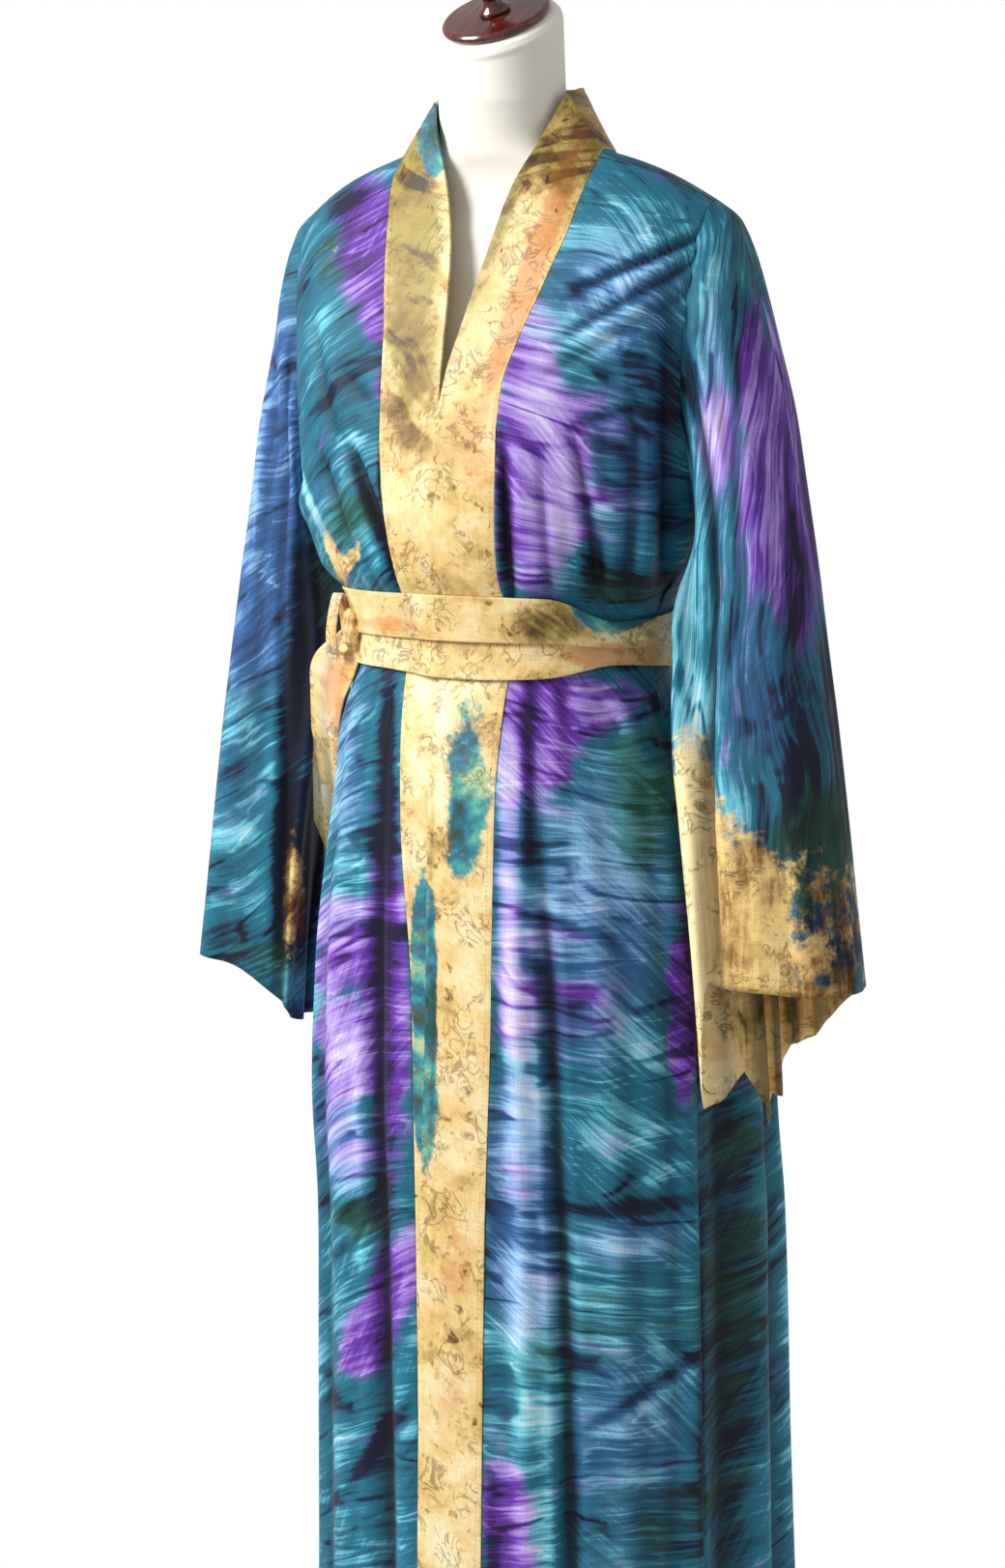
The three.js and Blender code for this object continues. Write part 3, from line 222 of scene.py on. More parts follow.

# ---- dyes, with painted shade and painted highlights: soft zones on the same level line ----
# Columns: across, up, half width, half height, lean in degrees, amount.

ROBE_ZONES = {
    "purple": (
        (-122, 1374, 29, 64, 0, 1.15), (-109, 1314, 14, 24, 0, 0.8), (-107, 1258, 10, 36, 0, 0.6),
        (14, 1282, 29, 40, 0, 0.75), (18, 1178, 37, 94, 0, 1.2), (66, 1202, 32, 64, 0, 0.4),
        (-146, 777, 27, 60, 0, 0.95), (-104, 745, 21, 144, 0, 1.15), (-146, 693, 24, 34, 0, 1.1),
        (-146, 625, 26, 40, 0, 0.6), (-104, 497, 19, 72, -25, 1.15),
        (-128, 445, 21, 32, -25, 1.0), (46, 997, 64, 24, 0, 1.2), (26, 961, 29, 44, 0, 1.05),
        (-4, 873, 10, 128, 0, 0.6), (46, 769, 48, 72, 0, 0.42), (2, 753, 19, 40, 0, 0.6),
        (139, 749, 14, 76, 0, 1.2), (2, 633, 16, 64, 0, 0.4), (-2, 317, 21, 76, 5, 1.3),
    ),
    # Deep-toned print, and painted shade in long strips down the skirt's fold valleys and beside the
    # left sleeve where the front turns away.
    "dark_and_shade": (
        (-146, 1406, 26, 13, 25, 0.5), (-114, 1147, 7, 67, 22, 1.5),
        (-142, 1414, 24, 13, 25, 0.6), (-150, 1262, 29, 18, 20, 0.35),
        (-154, 1178, 18, 21, 0, 0.35), (126, 1426, 56, 16, -12, 0.45),
        (98, 1356, 56, 5, 23, 0.75), (90, 1325, 58, 5, 28, 0.6), (74, 1234, 29, 4, 16, 0.5),
        (78, 1168, 26, 4, 12, 0.5), (-6, 1142, 6, 60, 0, 0.8), (60, 1130, 6, 40, 0, 0.4),
        (125, 1202, 16, 144, 0, 0.45), (98, 1170, 22, 80, 0, 0.3), (86, 1093, 56, 16, 0, 0.5),
        (-107, 777, 11, 264, 0, 0.65), (-104, 945, 7, 88, 0, 0.7), (-122, 425, 40, 48, -20, 0.25),
        (-138, 556, 34, 13, 10, 0.7), (-106, 537, 13, 192, 0, 0.35), (-107, 377, 7, 64, -30, 1.0),
        (-98, 457, 6, 48, -25, 0.5), (12, 937, 6, 92, 0, 0.85), (48, 817, 48, 6, -14, 0.85),
        (16, 789, 18, 7, -45, 0.9), (115, 921, 21, 96, 0, 0.45), (139, 761, 14, 120, 0, 0.55),
        (86, 590, 72, 8, 3, 0.95), (38, 605, 24, 19, 0, 0.5), (109, 441, 76, 5, 32, 0.9),
        (126, 377, 88, 104, 0, 0.2), (-16, 305, 6, 48, 0, 0.5), (48, 393, 8, 96, 0, 0.35),
        (189, 489, 35, 216, 0, 0.55), (154, 457, 3, 192, 0, 0.55), (194, 641, 27, 48, 0, 0.3),
    ),
    # Lighter print, and painted highlights on the lit strips of the folds and in a thin line along the
    # right front's side edge.
    "light": (
        (-138, 1211, 14, 10, 10, 1.0), (-166, 1314, 11, 48, 0, 0.3),
        (-126, 1178, 8, 32, 25, 0.45), (-171, 1154, 4, 67, 24, 0.9), (86, 1350, 72, 60, 12, 0.42),
        (46, 1302, 36, 24, 12, 0.3), (19, 1234, 21, 72, 0, 0.6), (40, 1146, 12, 48, 0, 0.45),
        (54, 1194, 48, 72, 0, 0.35), (54, 1378, 32, 21, 0, 0.2), (-144, 657, 18, 400, 0, 0.3),
        (-90, 897, 5, 120, 0, 0.35), (-150, 785, 16, 40, 0, 0.35), (-146, 689, 19, 32, 0, 0.35),
        (-146, 617, 21, 44, 0, 0.35), (-146, 473, 16, 36, 0, 0.3), (-144, 329, 14, 48, 0, 0.15),
        (54, 1000, 32, 16, 0, 0.25), (-4, 897, 9, 144, 0, 0.6), (64, 857, 56, 104, 0, 0.45),
        (22, 841, 48, 6, -30, 0.5), (2, 745, 16, 40, 0, 0.5), (98, 721, 35, 32, 0, 0.35),
        (86, 656, 58, 24, -10, 0.45), (13, 681, 19, 40, 0, 0.6), (128, 620, 24, 10, 15, 0.6),
        (98, 560, 48, 13, 3, 0.4), (70, 417, 56, 176, 0, 0.2), (126, 437, 56, 6, 32, 0.3),
        (6, 617, 22, 84, 0, 0.55), (10, 521, 24, 48, 0, 0.55), (16, 437, 27, 60, 0, 0.7),
        (24, 329, 11, 72, 0, 0.5),
    ),
    "gold": (
        (-139, 1105, 7, 21, -25, 0.8), (-150, 1368, 6, 14, 0, 0.35), (-151, 1113, 6, 21, 22, 0.9),
    ),
    "green": (
        (-150, 1366, 21, 32, 0, 0.6), (-146, 1130, 24, 48, -25, 0.5),
        (-130, 1162, 21, 48, 0, 0.3), (86, 1097, 48, 19, 0, 0.6), (-138, 549, 32, 21, 0, 0.7),
        (101, 921, 29, 80, 0, 0.8), (86, 501, 56, 40, 0, 0.5), (102, 329, 72, 56, 0, 0.45),
        (19, 465, 21, 29, 0, 0.7), (182, 537, 40, 216, 0, 0.5),
    ),
    "blue": (
        (86, 1338, 64, 56, 10, 0.6), (86, 1194, 44, 96, 0, 0.5), (-144, 945, 21, 104, 0, 0.6),
        (-146, 617, 27, 48, 0, 1.2), (-4, 897, 11, 144, 0, 0.9), (70, 833, 64, 128, 0, 0.75),
        (94, 565, 64, 24, 0, 0.6), (6, 617, 26, 92, 0, 1.25), (10, 521, 27, 48, 0, 0.95),
        (94, 393, 64, 120, 0, 0.5),
    ),
}
LEFT_SLEEVE_ZONES = {
    # Deep-toned print, and painted shade on the sleeve's top, down its groove beside the body and
    # towards its outer edge.
    "dark_and_shade": (
        (193, 1377, 21, 71, 0, 0.35), (164, 1421, 44, 33, 0, 0.75), (229, 1147, 21, 87, 5, 0.25),
        (179, 1210, 4, 167, 0, 0.65), (172, 1004, 4, 71, 0, 0.5), (243, 980, 29, 71, 0, 0.5),
        (205, 984, 48, 71, 0, 0.35), (241, 901, 40, 40, 0, 0.4), (253, 821, 35, 48, 0, 0.75),
        (213, 869, 24, 32, 0, 0.5), (205, 702, 10, 64, 0, 0.6), (187, 738, 8, 36, 0, 0.9),
        (225, 726, 6, 48, 0, 0.6), (268, 1020, 16, 238, 0, 0.3),
    ),
    "green": (
        (195, 1369, 29, 71, 0, 0.5), (246, 885, 37, 60, 0, 1.0),
    ),
    # Lighter print, and painted highlights down the strip beside the body.
    "light": (
        (157, 1310, 11, 83, 0, 0.6), (160, 1226, 11, 71, 0, 0.2), (146, 1083, 14, 103, 0, 0.55),
        (146, 996, 14, 32, 0, 0.35), (145, 821, 16, 127, 0, 1.2), (167, 710, 17, 56, 0, 0.45),
        (213, 702, 48, 48, 0, 0.35),
    ),
    "purple": (
        (216, 1179, 35, 123, 4, 1.4), (164, 1218, 11, 49, 0, 0.8), (191, 1278, 10, 40, 0, 0.5),
    ),
    "blue": (
        (161, 1234, 16, 95, 0, 0.8), (193, 1020, 30, 68, 0, 0.6),
    ),
    "gold": (
        (146, 857, 21, 105, 0, 1.8), (161, 710, 35, 87, 0, 1.7), (187, 829, 32, 79, 0, 0.95),
        (249, 817, 44, 71, 0, 0.5), (213, 702, 64, 68, 0, 1.7),
    ),
}
RIGHT_SLEEVE_ZONES = {
    "blue": (
        (-223, 1199, 43, 156, 0, 1.35), (-245, 1043, 43, 61, 0, 0.8), (-254, 904, 35, 70, 0, 0.4),
    ),
    "light": (
        (-235, 1182, 12, 113, 0, 0.3), (-254, 973, 26, 43, 20, 0.4),
        (-267, 878, 19, 52, 20, 0.35), (-196, 730, 10, 23, 0, 0.9), (-245, 860, 26, 9, 25, 0.4),
    ),
    # Deep-toned print, and painted shadow in the gap between the sleeve and the body.
    "dark_and_shade": (
        (-231, 1069, 24, 26, 30, 0.55), (-241, 1017, 26, 16, 30, 0.5),
        (-202, 694, 30, 10, 0, 0.9), (-195, 817, 17, 78, 0, 2.2), (-245, 917, 38, 10, 25, 0.45),
        (-254, 817, 38, 12, 22, 0.4), (-181, 1008, 21, 174, 0, 1.3), (-202, 860, 9, 104, 0, 0.45),
    ),
    "gold": (
        (-195, 804, 10, 50, 0, 0.95),
    ),
    "green": (
        (-195, 730, 10, 23, 0, 1.2), (-228, 743, 38, 43, 0, 0.5),
    ),
}
BAND_ZONES = {
    "olive": (
        (-85, 1370, 27, 160, 0, 1.1), (46, 1457, 32, 56, 0, 0.8), (-10, 1393, 10, 120, -20, 0.8),
    ),
    # Deep-toned mottling, and a thin painted shadow line down the edge of the left band where it lies on
    # the right front.
    "dark_and_shade": (
        (-85, 1393, 21, 136, 0, 0.25), (54, 1497, 21, 11, 0, 0.8), (64, 1473, 16, 32, 0, 0.7),
        (-48, 923, 6, 24, 0, 0.7), (-10, 1258, 6, 48, 0, 0.25), (-66, 779, 2, 271, 0, 0.6),
    ),
    "teal": (
        (-64, 1465, 14, 37, 0, 1.4), (-38, 916, 19, 73, 0, 1.1), (-73, 771, 10, 76, 0, 2.2),
        (-72, 683, 9, 64, 0, 2.0),
    ),
    "orange": (
        (19, 1362, 10, 120, -20, 1.4), (-26, 1202, 24, 48, 0, 0.4), (-89, 1066, 24, 16, 0, 0.4),
        (-45, 540, 16, 48, 0, 0.45), (-53, 436, 16, 40, 0, 0.35),
    ),
    "pale": (
        (-28, 923, 11, 45, 0, 0.9), (-57, 954, 13, 72, 0, 0.6), (-38, 779, 13, 96, 0, 0.4),
        (-49, 1130, 40, 48, 0, 0.25), (-49, 332, 21, 56, 0, 0.4), (6, 1409, 10, 56, 25, 0.3),
        (-77, 986, 11, 64, 0, 0.5),
    ),
}
SASH_ZONES = {
    "teal": (
        (86, 1073, 38, 18, 0, 1.2),
    ),
    "dark_and_shade": (
        (102, 1066, 40, 18, 0, 0.25), (62, 1023, 48, 6, 0, 0.25), (-168, 811, 11, 40, 0, 0.5),
        (22, 1054, 48, 6, 0, 0.2), (-81, 1050, 32, 4, 0, 0.3),
    ),
    "orange": (
        (86, 1036, 45, 11, 0, 1.2), (-105, 1057, 32, 8, 0, 0.7), (-153, 986, 13, 48, 0, 0.9),
        (-145, 1058, 10, 32, 0, 0.5),
    ),
    # Lighter gold silk, and a painted highlight down the front hanging end.
    "pale": (
        (126, 1049, 7, 22, 0, 1.0), (-26, 1074, 48, 8, 0, 0.4), (-159, 947, 16, 88, 0, 0.8),
        (-73, 1034, 48, 6, 0, 0.4),
    ),
    "olive": (
        (34, 1066, 37, 19, 0, 0.7),
    ),
}

# Each silk's dyes. The light and the gold silk's lighter amounts also paint highlights, and the
# deep-toned amounts also paint shade.
SILK_DYES = ("purple", "light", "dark_and_shade", "gold", "blue", "green")
GOLD_DYES = ("teal", "pale", "dark_and_shade", "orange", "none", "olive")


# ---- settings ----


def colour_of(text):
    """A linear colour from two hexadecimal digits each of red, green and blue."""
    parts = [int(text[k : k + 2], 16) / 255 for k in (0, 2, 4)]
    return tuple(c / 12.92 if c <= 0.04045 else ((c + 0.055) / 1.055) ** 2.4 for c in parts)


# The gold silk's own dyes, and the light strokes of its teal areas.
ORANGE, OLIVE, SEA, MIST = (
    np.array(colour_of(text)) for text in ("d4702a", "a9ab6a", "3fa39a", "b9cf9a")
)


def length_setting(name, description, default):
    return bpy.props.FloatProperty(
        name=name, description=description, default=default, min=0.0, unit="LENGTH", precision=4
    )


def share_setting(name, description, default):
    return bpy.props.FloatProperty(
        name=name, description=description, default=default, min=0.0, max=3.0, subtype="FACTOR"
    )


def colour_setting(name, description, default):
    return bpy.props.FloatVectorProperty(
        name=name, description=description, default=colour_of(default), subtype="COLOR", size=3,
        min=0.0, max=1.0,
    )


class DUSTER_PG_sizes(bpy.types.PropertyGroup):
    cloth: length_setting("Cloth", "Thickness of a single layer of silk", 0.0012)
    doubled: length_setting("Doubled cloth", "Thickness of the folded neckband and sash", 0.0022)
    spacing: length_setting("Spacing", "Distance between rows of points down the cloth", 0.005)
    crease: share_setting("Creases", "How deep the drag lines of the bodice are", 1.0)
    gather: share_setting("Gathers", "How deep the gathers at the sash are", 1.0)


class DUSTER_PG_colours(bpy.types.PropertyGroup):
    navy: colour_setting("Navy", "Deepest blue of the marbling", "0b1a38")
    teal: colour_setting("Teal", "Main colour of the marbling", "1f6f87")
    aqua: colour_setting("Aqua", "Light veins of the marbling", "6cc4d6")
    indigo: colour_setting("Indigo", "Main colour of the blue zones", "345f98")
    sky: colour_setting("Sky", "Light veins of the blue zones", "8fbbe8")
    moss: colour_setting("Moss", "Green and olive zones", "1c4f47")
    plum: colour_setting("Plum", "Deepest purple of the marbling", "250c48")
    purple: colour_setting("Purple", "Purple zones", "6a35a8")
    lavender: colour_setting("Lavender", "Light veins of the purple zones", "b295e2")
    gold: colour_setting("Gold", "Main colour of the band and sash", "edc97e")
    straw: colour_setting("Straw", "Light parts of the gold silk", "fae5ae")
    brown: colour_setting("Brown", "Lines and shaded parts of the gold silk", "7d5322")
    jersey: colour_setting("Jersey", "Cover of the dress form", "fbf8f0")
    mahogany: colour_setting("Mahogany", "Lacquered neck cap and finial", "5a1a10")
    iron: colour_setting("Iron", "Painted stand", "1c1b1a")


class DUSTER_PG_stage(bpy.types.PropertyGroup):
    distance: length_setting("Camera distance", "From the stand's axis, along the floor", 2.6827)
    height: length_setting("Camera height", "Above the floor", 1.2855)
    key: bpy.props.FloatProperty(
        name="Key light", description="Power of the large soft light", default=120.0, unit="POWER"
    )
    fill: bpy.props.FloatProperty(
        name="Fill light", description="Power of the light from the other side", default=6.0,
        unit="POWER",
    )
    floor: colour_setting("Floor", "Colour of the floor", "f0efec")


# ---- numbers ----


def mix(a, b, t):
    """From a to b by the share t."""
    return a + (b - a) * t


def smooth(v):
    """An eased step from 0 to 1."""
    v = np.clip(v, 0, 1)
    return v * v * (3 - 2 * v)


def signed(v, power):
    """A power that keeps its value's sign."""
    return np.sign(v) * np.abs(v) ** power


def column(rows, key, at, name):
    """One column of a table at key = at, by a cubic that doesn't overshoot its rows."""
    order = np.argsort(rows[key])
    x, y = rows[key][order], rows[name][order]
    step = np.diff(x)
    slope = np.diff(y) / step
    before, after = slope[:-1], slope[1:]
    same = before * after > 0
    inner = np.where(same, 2 * before * after / np.where(same, before + after, 1), 0)
    tangent = np.concatenate([slope[:1], inner, slope[-1:]])
    at = np.clip(np.asarray(at, float), x[0], x[-1])
    i = np.clip(np.searchsorted(x, at, side="right") - 1, 0, len(step) - 1)
    t = (at - x[i]) / step[i]
    a, b, ta, tb = y[i], y[i + 1], tangent[i] * step[i], tangent[i + 1] * step[i]
    return (
        a * (2 * t**3 - 3 * t**2 + 1) + ta * (t**3 - 2 * t**2 + t) + b * (3 * t**2 - 2 * t**3)
        + tb * (t**3 - t**2)
    )


def points(x, y, z):
    """A grid of points from its coordinates."""
    return np.stack(np.broadcast_arrays(x, y, z), axis=-1).astype(float)


def lengths(vectors):
    return np.linalg.norm(vectors, axis=-1, keepdims=True)


def ripple(a, b, seed, waves=6):
    """Smooth uneven waves from -1 to 1 over two coordinates, in turns."""
    draw = np.random.default_rng(seed)
    total = 0
    for _ in range(waves):
        ranges = ((0.5, 1.5), (-0.8, 0.8), (0, 6.3), (1, 2.5))
        fa, fb, turn, bend = (draw.uniform(low, high) for low, high in ranges)
        slow = bend * np.sin(2 * np.pi * 0.37 * b + turn)
        total = total + np.sin(2 * np.pi * (fa * a + fb * b) + turn + slow)
    return total / waves


# ---- the body's rings ----


def folds(rows, angle, share, strength, crisp=1.0):
    """How far rounded folds stand out at an angle; share moves each one to its place at the hem."""
    total = 0
    for at, hem, wide, depth in zip(rows["at"], rows["hem"], rows["wide"], rows["depth"]):
        away = (angle - mix(at, hem, share) + 540) % 360 - 180
        reach = wide * mix(0.8, 1, share)
        bump = (1 + np.cos(np.pi * np.clip(away / reach, -1, 1))) / 2
        total = total + depth * bump**crisp
    return total * strength


def fold_height(angle, z):
    """How far the cloth stands out of its ring, below and above the waist."""
    share = (WAIST_Z - z) / (WAIST_Z - HEM_Z)
    strength = smooth((WAIST_Z - 34 - z) / 260) * mix(0.75, 1.1, share)
    pinch = 0.22 * smooth((WAIST_Z - 38 - z) / 18) * (1 - smooth((WAIST_Z - 60 - z) / 120))
    below = folds(SKIRT_FOLDS, angle, share, strength + pinch)
    share = (z - WAIST_Z) / (UNDERARM_Z - WAIST_Z)
    strength = smooth((z - WAIST_Z - 40) / 22) * (1 - smooth((z - WAIST_Z - 62) / 66))
    above = folds(BODICE_FOLDS, angle, share, strength)
    away = (angle - BLOUSE_ANGLE + 540) % 360 - 180
    above = above + column(BLOUSE, "z", z, "out") * np.exp(-((away / BLOUSE_WIDE) ** 2))
    return np.where(z < WAIST_Z, below, above)


def lift_at(x):
    """How far the left front rises where it lies on the right one."""
    return OVERLAP_LIFT * (1 - smooth((x - LIFT_FULL_X) / (LIFT_NONE_X - LIFT_FULL_X)))


def ring(angle, z, out=0.0):
    """Points of the body at an angle and height, out millimetres outside the folded ring."""
    angle, z = np.broadcast_arrays(np.asarray(angle, float), np.asarray(z, float))
    half, centre = column(BODY, "z", z, "half"), column(BODY, "z", z, "centre")
    front, back = column(BODY, "z", z, "front") + centre, column(BODY, "z", z, "back") - centre
    depth = np.where(np.cos(angle) >= 0, front, back)
    x = half * signed(np.sin(angle), ROUNDNESS)
    y = -depth * signed(np.cos(angle), ROUNDNESS)
    away = points(x / half**2, y / depth**2, 0 * z)
    away = away / lengths(away)
    rise = fold_height(np.degrees(angle), z) + out
    return points(x + column(BODY, "z", z, "shift"), y + centre, z) + away * rise[..., None]


def angle_at(x, z):
    """The angle at which the body's ring has this distance across."""
    share = (x - column(BODY, "z", z, "shift")) / column(BODY, "z", z, "half")
    return np.arcsin(np.clip(signed(share, 1 / ROUNDNESS), -1, 1))


def seam_angle(z):
    return np.radians(column(BODY, "z", z, "seam"))


def band_x(side, z):
    return column(FRONT_SEAM, "z", z, "left" if side > 0 else "right")


# ---- the yoke ----


def armhole(side, turn):
    """The armhole's edge: down its front half and up its back half."""
    down = (1 - np.cos(2 * np.pi * turn)) / 2
    low = ring(np.pi / 2, UNDERARM_Z)
    return points(
        side * mix(SHOULDER_END[0], low[0], down),
        mix(SHOULDER_END[1], low[1], down) - ARMHOLE_DEPTH * np.sin(2 * np.pi * turn),
        mix(SHOULDER_END[2], low[2], down),
    )


def shoulder(side, along):
    """The shoulder seam, from the armhole to the neck."""
    crown = SHOULDER_CROWN * np.sin(np.pi * along)
    x, y, z = (mix(a, b, along) for a, b in zip(SHOULDER_END, NECK_POINT))
    return points(side * x, y, z + crown)


def neckline(side, turn):
    """The neck's edge, from the shoulder seam round to the nape."""
    reach = NAPE_Y - NECKLINE_CENTRE_Y
    start = math.asin((NECK_POINT[1] - NECKLINE_CENTRE_Y) / reach)
    angle = mix(start, np.pi / 2, turn)
    return points(
        side * NECK_POINT[0] * np.cos(angle) / math.cos(start),
        NECKLINE_CENTRE_Y + reach * np.sin(angle),
        mix(NECK_POINT[2], NAPE_Z, turn),
    )


def fall_at(level):
    """How far a warp line has fallen at a level of the yoke, as a share."""
    return 1 - np.cos(np.pi * level / 2)


def lapel_table(side):
    """The lapel's rows, and one at the underarm where the lower part begins."""
    seam, edge = band_point(side, 0.0, float(UNDERARM_Z)), band_point(side, 1.0, float(UNDERARM_Z))
    low = (UNDERARM_Z, seam[0], seam[1], edge[0], edge[1], edge[2])
    return table("z seamX seamY edgeX edgeY edgeZ", *(LEFT_LAPEL if side > 0 else RIGHT_LAPEL), low)


def front_seam(side, level):
    """The seam between a front and its band, in the yoke."""
    z = mix(NECK_POINT[2], UNDERARM_Z, fall_at(level))
    lapel = lapel_table(side)
    return points(column(lapel, "z", z, "seamX"), column(lapel, "z", z, "seamY"), z)


def spine(level):
    """The middle of the back, in the yoke."""
    z = mix(NAPE_Z, UNDERARM_Z, fall_at(level))
    return points(0 * z, column(SPINE, "z", z, "y"), z)


def patch(edge, middle, top, bottom, across, level):
    """A patch between four edges, whose warp lines fall as quarter ellipses."""

    def warp(u):
        a, b = top(u), bottom(u)
        out = np.sin(np.pi * level / 2)
        return points(
            mix(a[..., 0], b[..., 0], level), mix(a[..., 1], b[..., 1], out),
            mix(a[..., 2], b[..., 2], fall_at(level)),
        )

    p = warp(across) + (edge(level) - warp(0 * across)) * (1 - across)[..., None]
    return p + (middle(level) - warp(0 * across + 1)) * across[..., None]


def front_low(side, across, z):
    angle = mix(side * seam_angle(z), angle_at(band_x(side, z), z), across)
    if side < 0:
        return ring(angle, z)
    return ring(angle, z, lift_at(ring(angle, z)[..., 0]))


def back_low(across, z):
    return ring(mix(seam_angle(z), 2 * np.pi - seam_angle(z), across), z)


def band_point(side, across, z):
    angle = angle_at(band_x(side, z) - side * BAND_WIDTH * across, z)
    return ring(angle, z, OVERLAP_LIFT if side > 0 else 0.0)


# A piece's length is told by its stage: -1 to 0 round the nape, 0 to 1 in the yoke, 1 to 2 below.
def stage_z(stage):
    return mix(UNDERARM_Z, HEM_Z, np.clip(stage - 1, 0, 1))


def stages(rows, nape):
    """Stages of evenly spaced rows, from the share of a piece's length that each part has."""
    parts = [(-1.0, 150 if nape else 0), (0.0, 290), (1.0, UNDERARM_Z - HEM_Z)]
    ends = np.cumsum([0] + [length for _, length in parts])
    at = np.linspace(0, ends[-1], rows + 1)
    return np.interp(at, ends if nape else ends[1:], [-1, 0, 1, 2] if nape else [0, 1, 2])


def front_points(side, across, stage):
    """A front, from its side seam across to its band."""
    level = np.clip(stage, 0, 1)
    high = patch(
        lambda v: armhole(side, v / 2), lambda v: front_seam(side, v), lambda u: shoulder(side, u),
        lambda u: front_low(side, u, np.full_like(u, float(UNDERARM_Z))), across, level,
    )
    return np.where((stage < 1)[..., None], high, front_low(side, across, stage_z(stage)))


NECKLINE_SHARE = 0.25  # of half the back's top edge


def back_points(across, stage):
    """The back, from the left side seam to the right one."""
    level = np.clip(stage, 0, 1)
    neck_at = 1 - NECKLINE_SHARE

    def top(side, u):
        along = shoulder(side, np.clip(u / neck_at, 0, 1))
        at_neck = neckline(side, np.clip((u - neck_at) / (1 - neck_at), 0, 1))
        return np.where((u > neck_at)[..., None], at_neck, along)

    def quarter(side, u):
        return patch(
            lambda v: armhole(side, 1 - v / 2), spine, lambda w: top(side, w),
            lambda w: back_low(w / 2 if side > 0 else 1 - w / 2, np.full_like(w, float(UNDERARM_Z))),
            u, level,
        )

    u = np.clip(across * 2, 0, 1), np.clip(2 - across * 2, 0, 1)
    high = np.where((across <= 0.5)[..., None], quarter(1, u[0]), quarter(-1, u[1]))
    return np.where((stage < 1)[..., None], high, back_low(across, stage_z(stage)))


def band_points(side, across, stage):
    """Half the neckband, from its seam across to its edge."""
    lapel = lapel_table(side)
    turn = np.clip(-stage, 0, 1)
    edge = points(*(column(COLLAR_EDGE, "turn", turn, name) for name in "xyz")) * np.array([side, 1, 1])
    nape = mix(neckline(side, turn), edge, across[..., None])
    seam = front_seam(side, np.clip(stage, 0, 1))
    z = seam[..., 2]
    edge = points(*(column(lapel, "z", z, name) for name in ("edgeX", "edgeY", "edgeZ")))
    yoke = mix(seam, edge, across[..., None])
    low = band_point(side, across, stage_z(stage))
    return np.where((stage < 0)[..., None], nape, np.where((stage < 1)[..., None], yoke, low))


def sleeve_points(side, turn, run):
    """A sleeve: turn goes round it and run goes down it, from 0 to 12."""
    at = {name: column(SLEEVE, "run", run, name) for name in SLEEVE if name != "run"}
    cuff = CUFF[side]
    c, s = np.cos(2 * np.pi * turn), np.sin(2 * np.pi * turn)
    square = np.where(c > 0, 1, mix(1, SLEEVE_SQUARE, smooth(run / 4)))
    inward = (1 - signed(c, square)) / 2
    out = signed(s, square)
    towards_cuff = smooth((run - 4) / 8)
    drop = 1 + (mix(at["dropBack"], at["dropFront"], smooth(s + 0.5)) - 1) * cuff["drop"]
    rise = 0
    for place, wide, depth in zip(*(SLEEVE_FOLDS[name] for name in ("at", "wide", "depth"))):
        away = np.clip(np.abs(turn - place) / wide, 0, 1)
        rise = rise + depth * (1 + np.cos(np.pi * away)) / 2
    top_z, low_z = at["topZ"] + cuff["top"] * towards_cuff, at["lowZ"] + cuff["low"] * towards_cuff
    seam_y = mix(SHOULDER_END[1], 0, inward)
    fallen = np.clip(inward, 0, 1) ** drop
    level = np.where(turn < 0.5, smooth((turn - CUFF_STEP) / 0.03), fallen)
    fallen = mix(fallen, level, smooth((run - 6) / 6) * cuff["level"])
    p = points(
        mix(at["topX"], at["lowX"], inward),
        mix(seam_y, at["midY"], smooth(run / 2)) - at["deep"] * out,
        mix(top_z, low_z, fallen),
    )
    chord = np.hypot(at["topX"] - at["lowX"], top_z - low_z) / 2
    outwards = (1 - 2 * inward) / chord
    facing = points(
        outwards * (at["topX"] - at["lowX"]) / 2, -out * chord / at["deep"],
        outwards * (top_z - low_z) / 2,
    )
    p = p + facing / lengths(facing) * (rise * smooth((run - 0.6) / 4.5))[..., None]
    elbow = 0.3 * np.exp(-(((run - 5.3) / 1.1) ** 2)) * cuff["level"]
    inner = smooth((run - 2) / 8) * cuff["inner"] + elbow
    whole = smooth((run - 1.5) / 3)
    p[..., 0] += inner * column(SLEEVE_INNER, "at", turn, "x") + whole * cuff["x"]
    p[..., 1] += inner * column(SLEEVE_INNER, "at", turn, "y") + whole * cuff["y"]
    points_up = np.interp(turn, *CUFF_POINTS) * smooth((run - 9.5) / 2.5) * cuff["level"]
    corner = 16 * np.exp(-((np.minimum(turn, 1 - turn) / 0.06) ** 2)) * smooth(run - 11)
    p[..., 2] += points_up + corner * (1 - cuff["level"])
    return p * np.array([side, 1, 1])


# ---- relief ----


def across_of(p):
    """Distance along the level line of the drag lines and dyes."""
    turn = math.radians(VIEW_TURN)
    return p[..., 0] * math.cos(turn) + p[..., 1] * math.sin(turn)


def crease_relief(name, p):
    """Drag lines: a groove with a softer roll on its upper side."""
    total = 0
    x, z = across_of(p), p[..., 2]
    for across, up, across_end, up_end, wide, depth in CREASES.get(name, ()):
        dx, dz = across_end - across, up_end - up
        length = math.hypot(dx, dz)
        along = ((x - across) * dx + (z - up) * dz) / length**2
        off = ((x - across) * dz - (z - up) * dx) / length
        fade = smooth((along + 0.12) / 0.3) * smooth((1.12 - along) / 0.3)
        groove = np.exp(-((off / wide) ** 2))
        roll = np.exp(-(((np.abs(off) - 2.4 * wide) / (1.6 * wide)) ** 2))
        total = total + fade * depth * (0.45 * roll - groove)
    return total


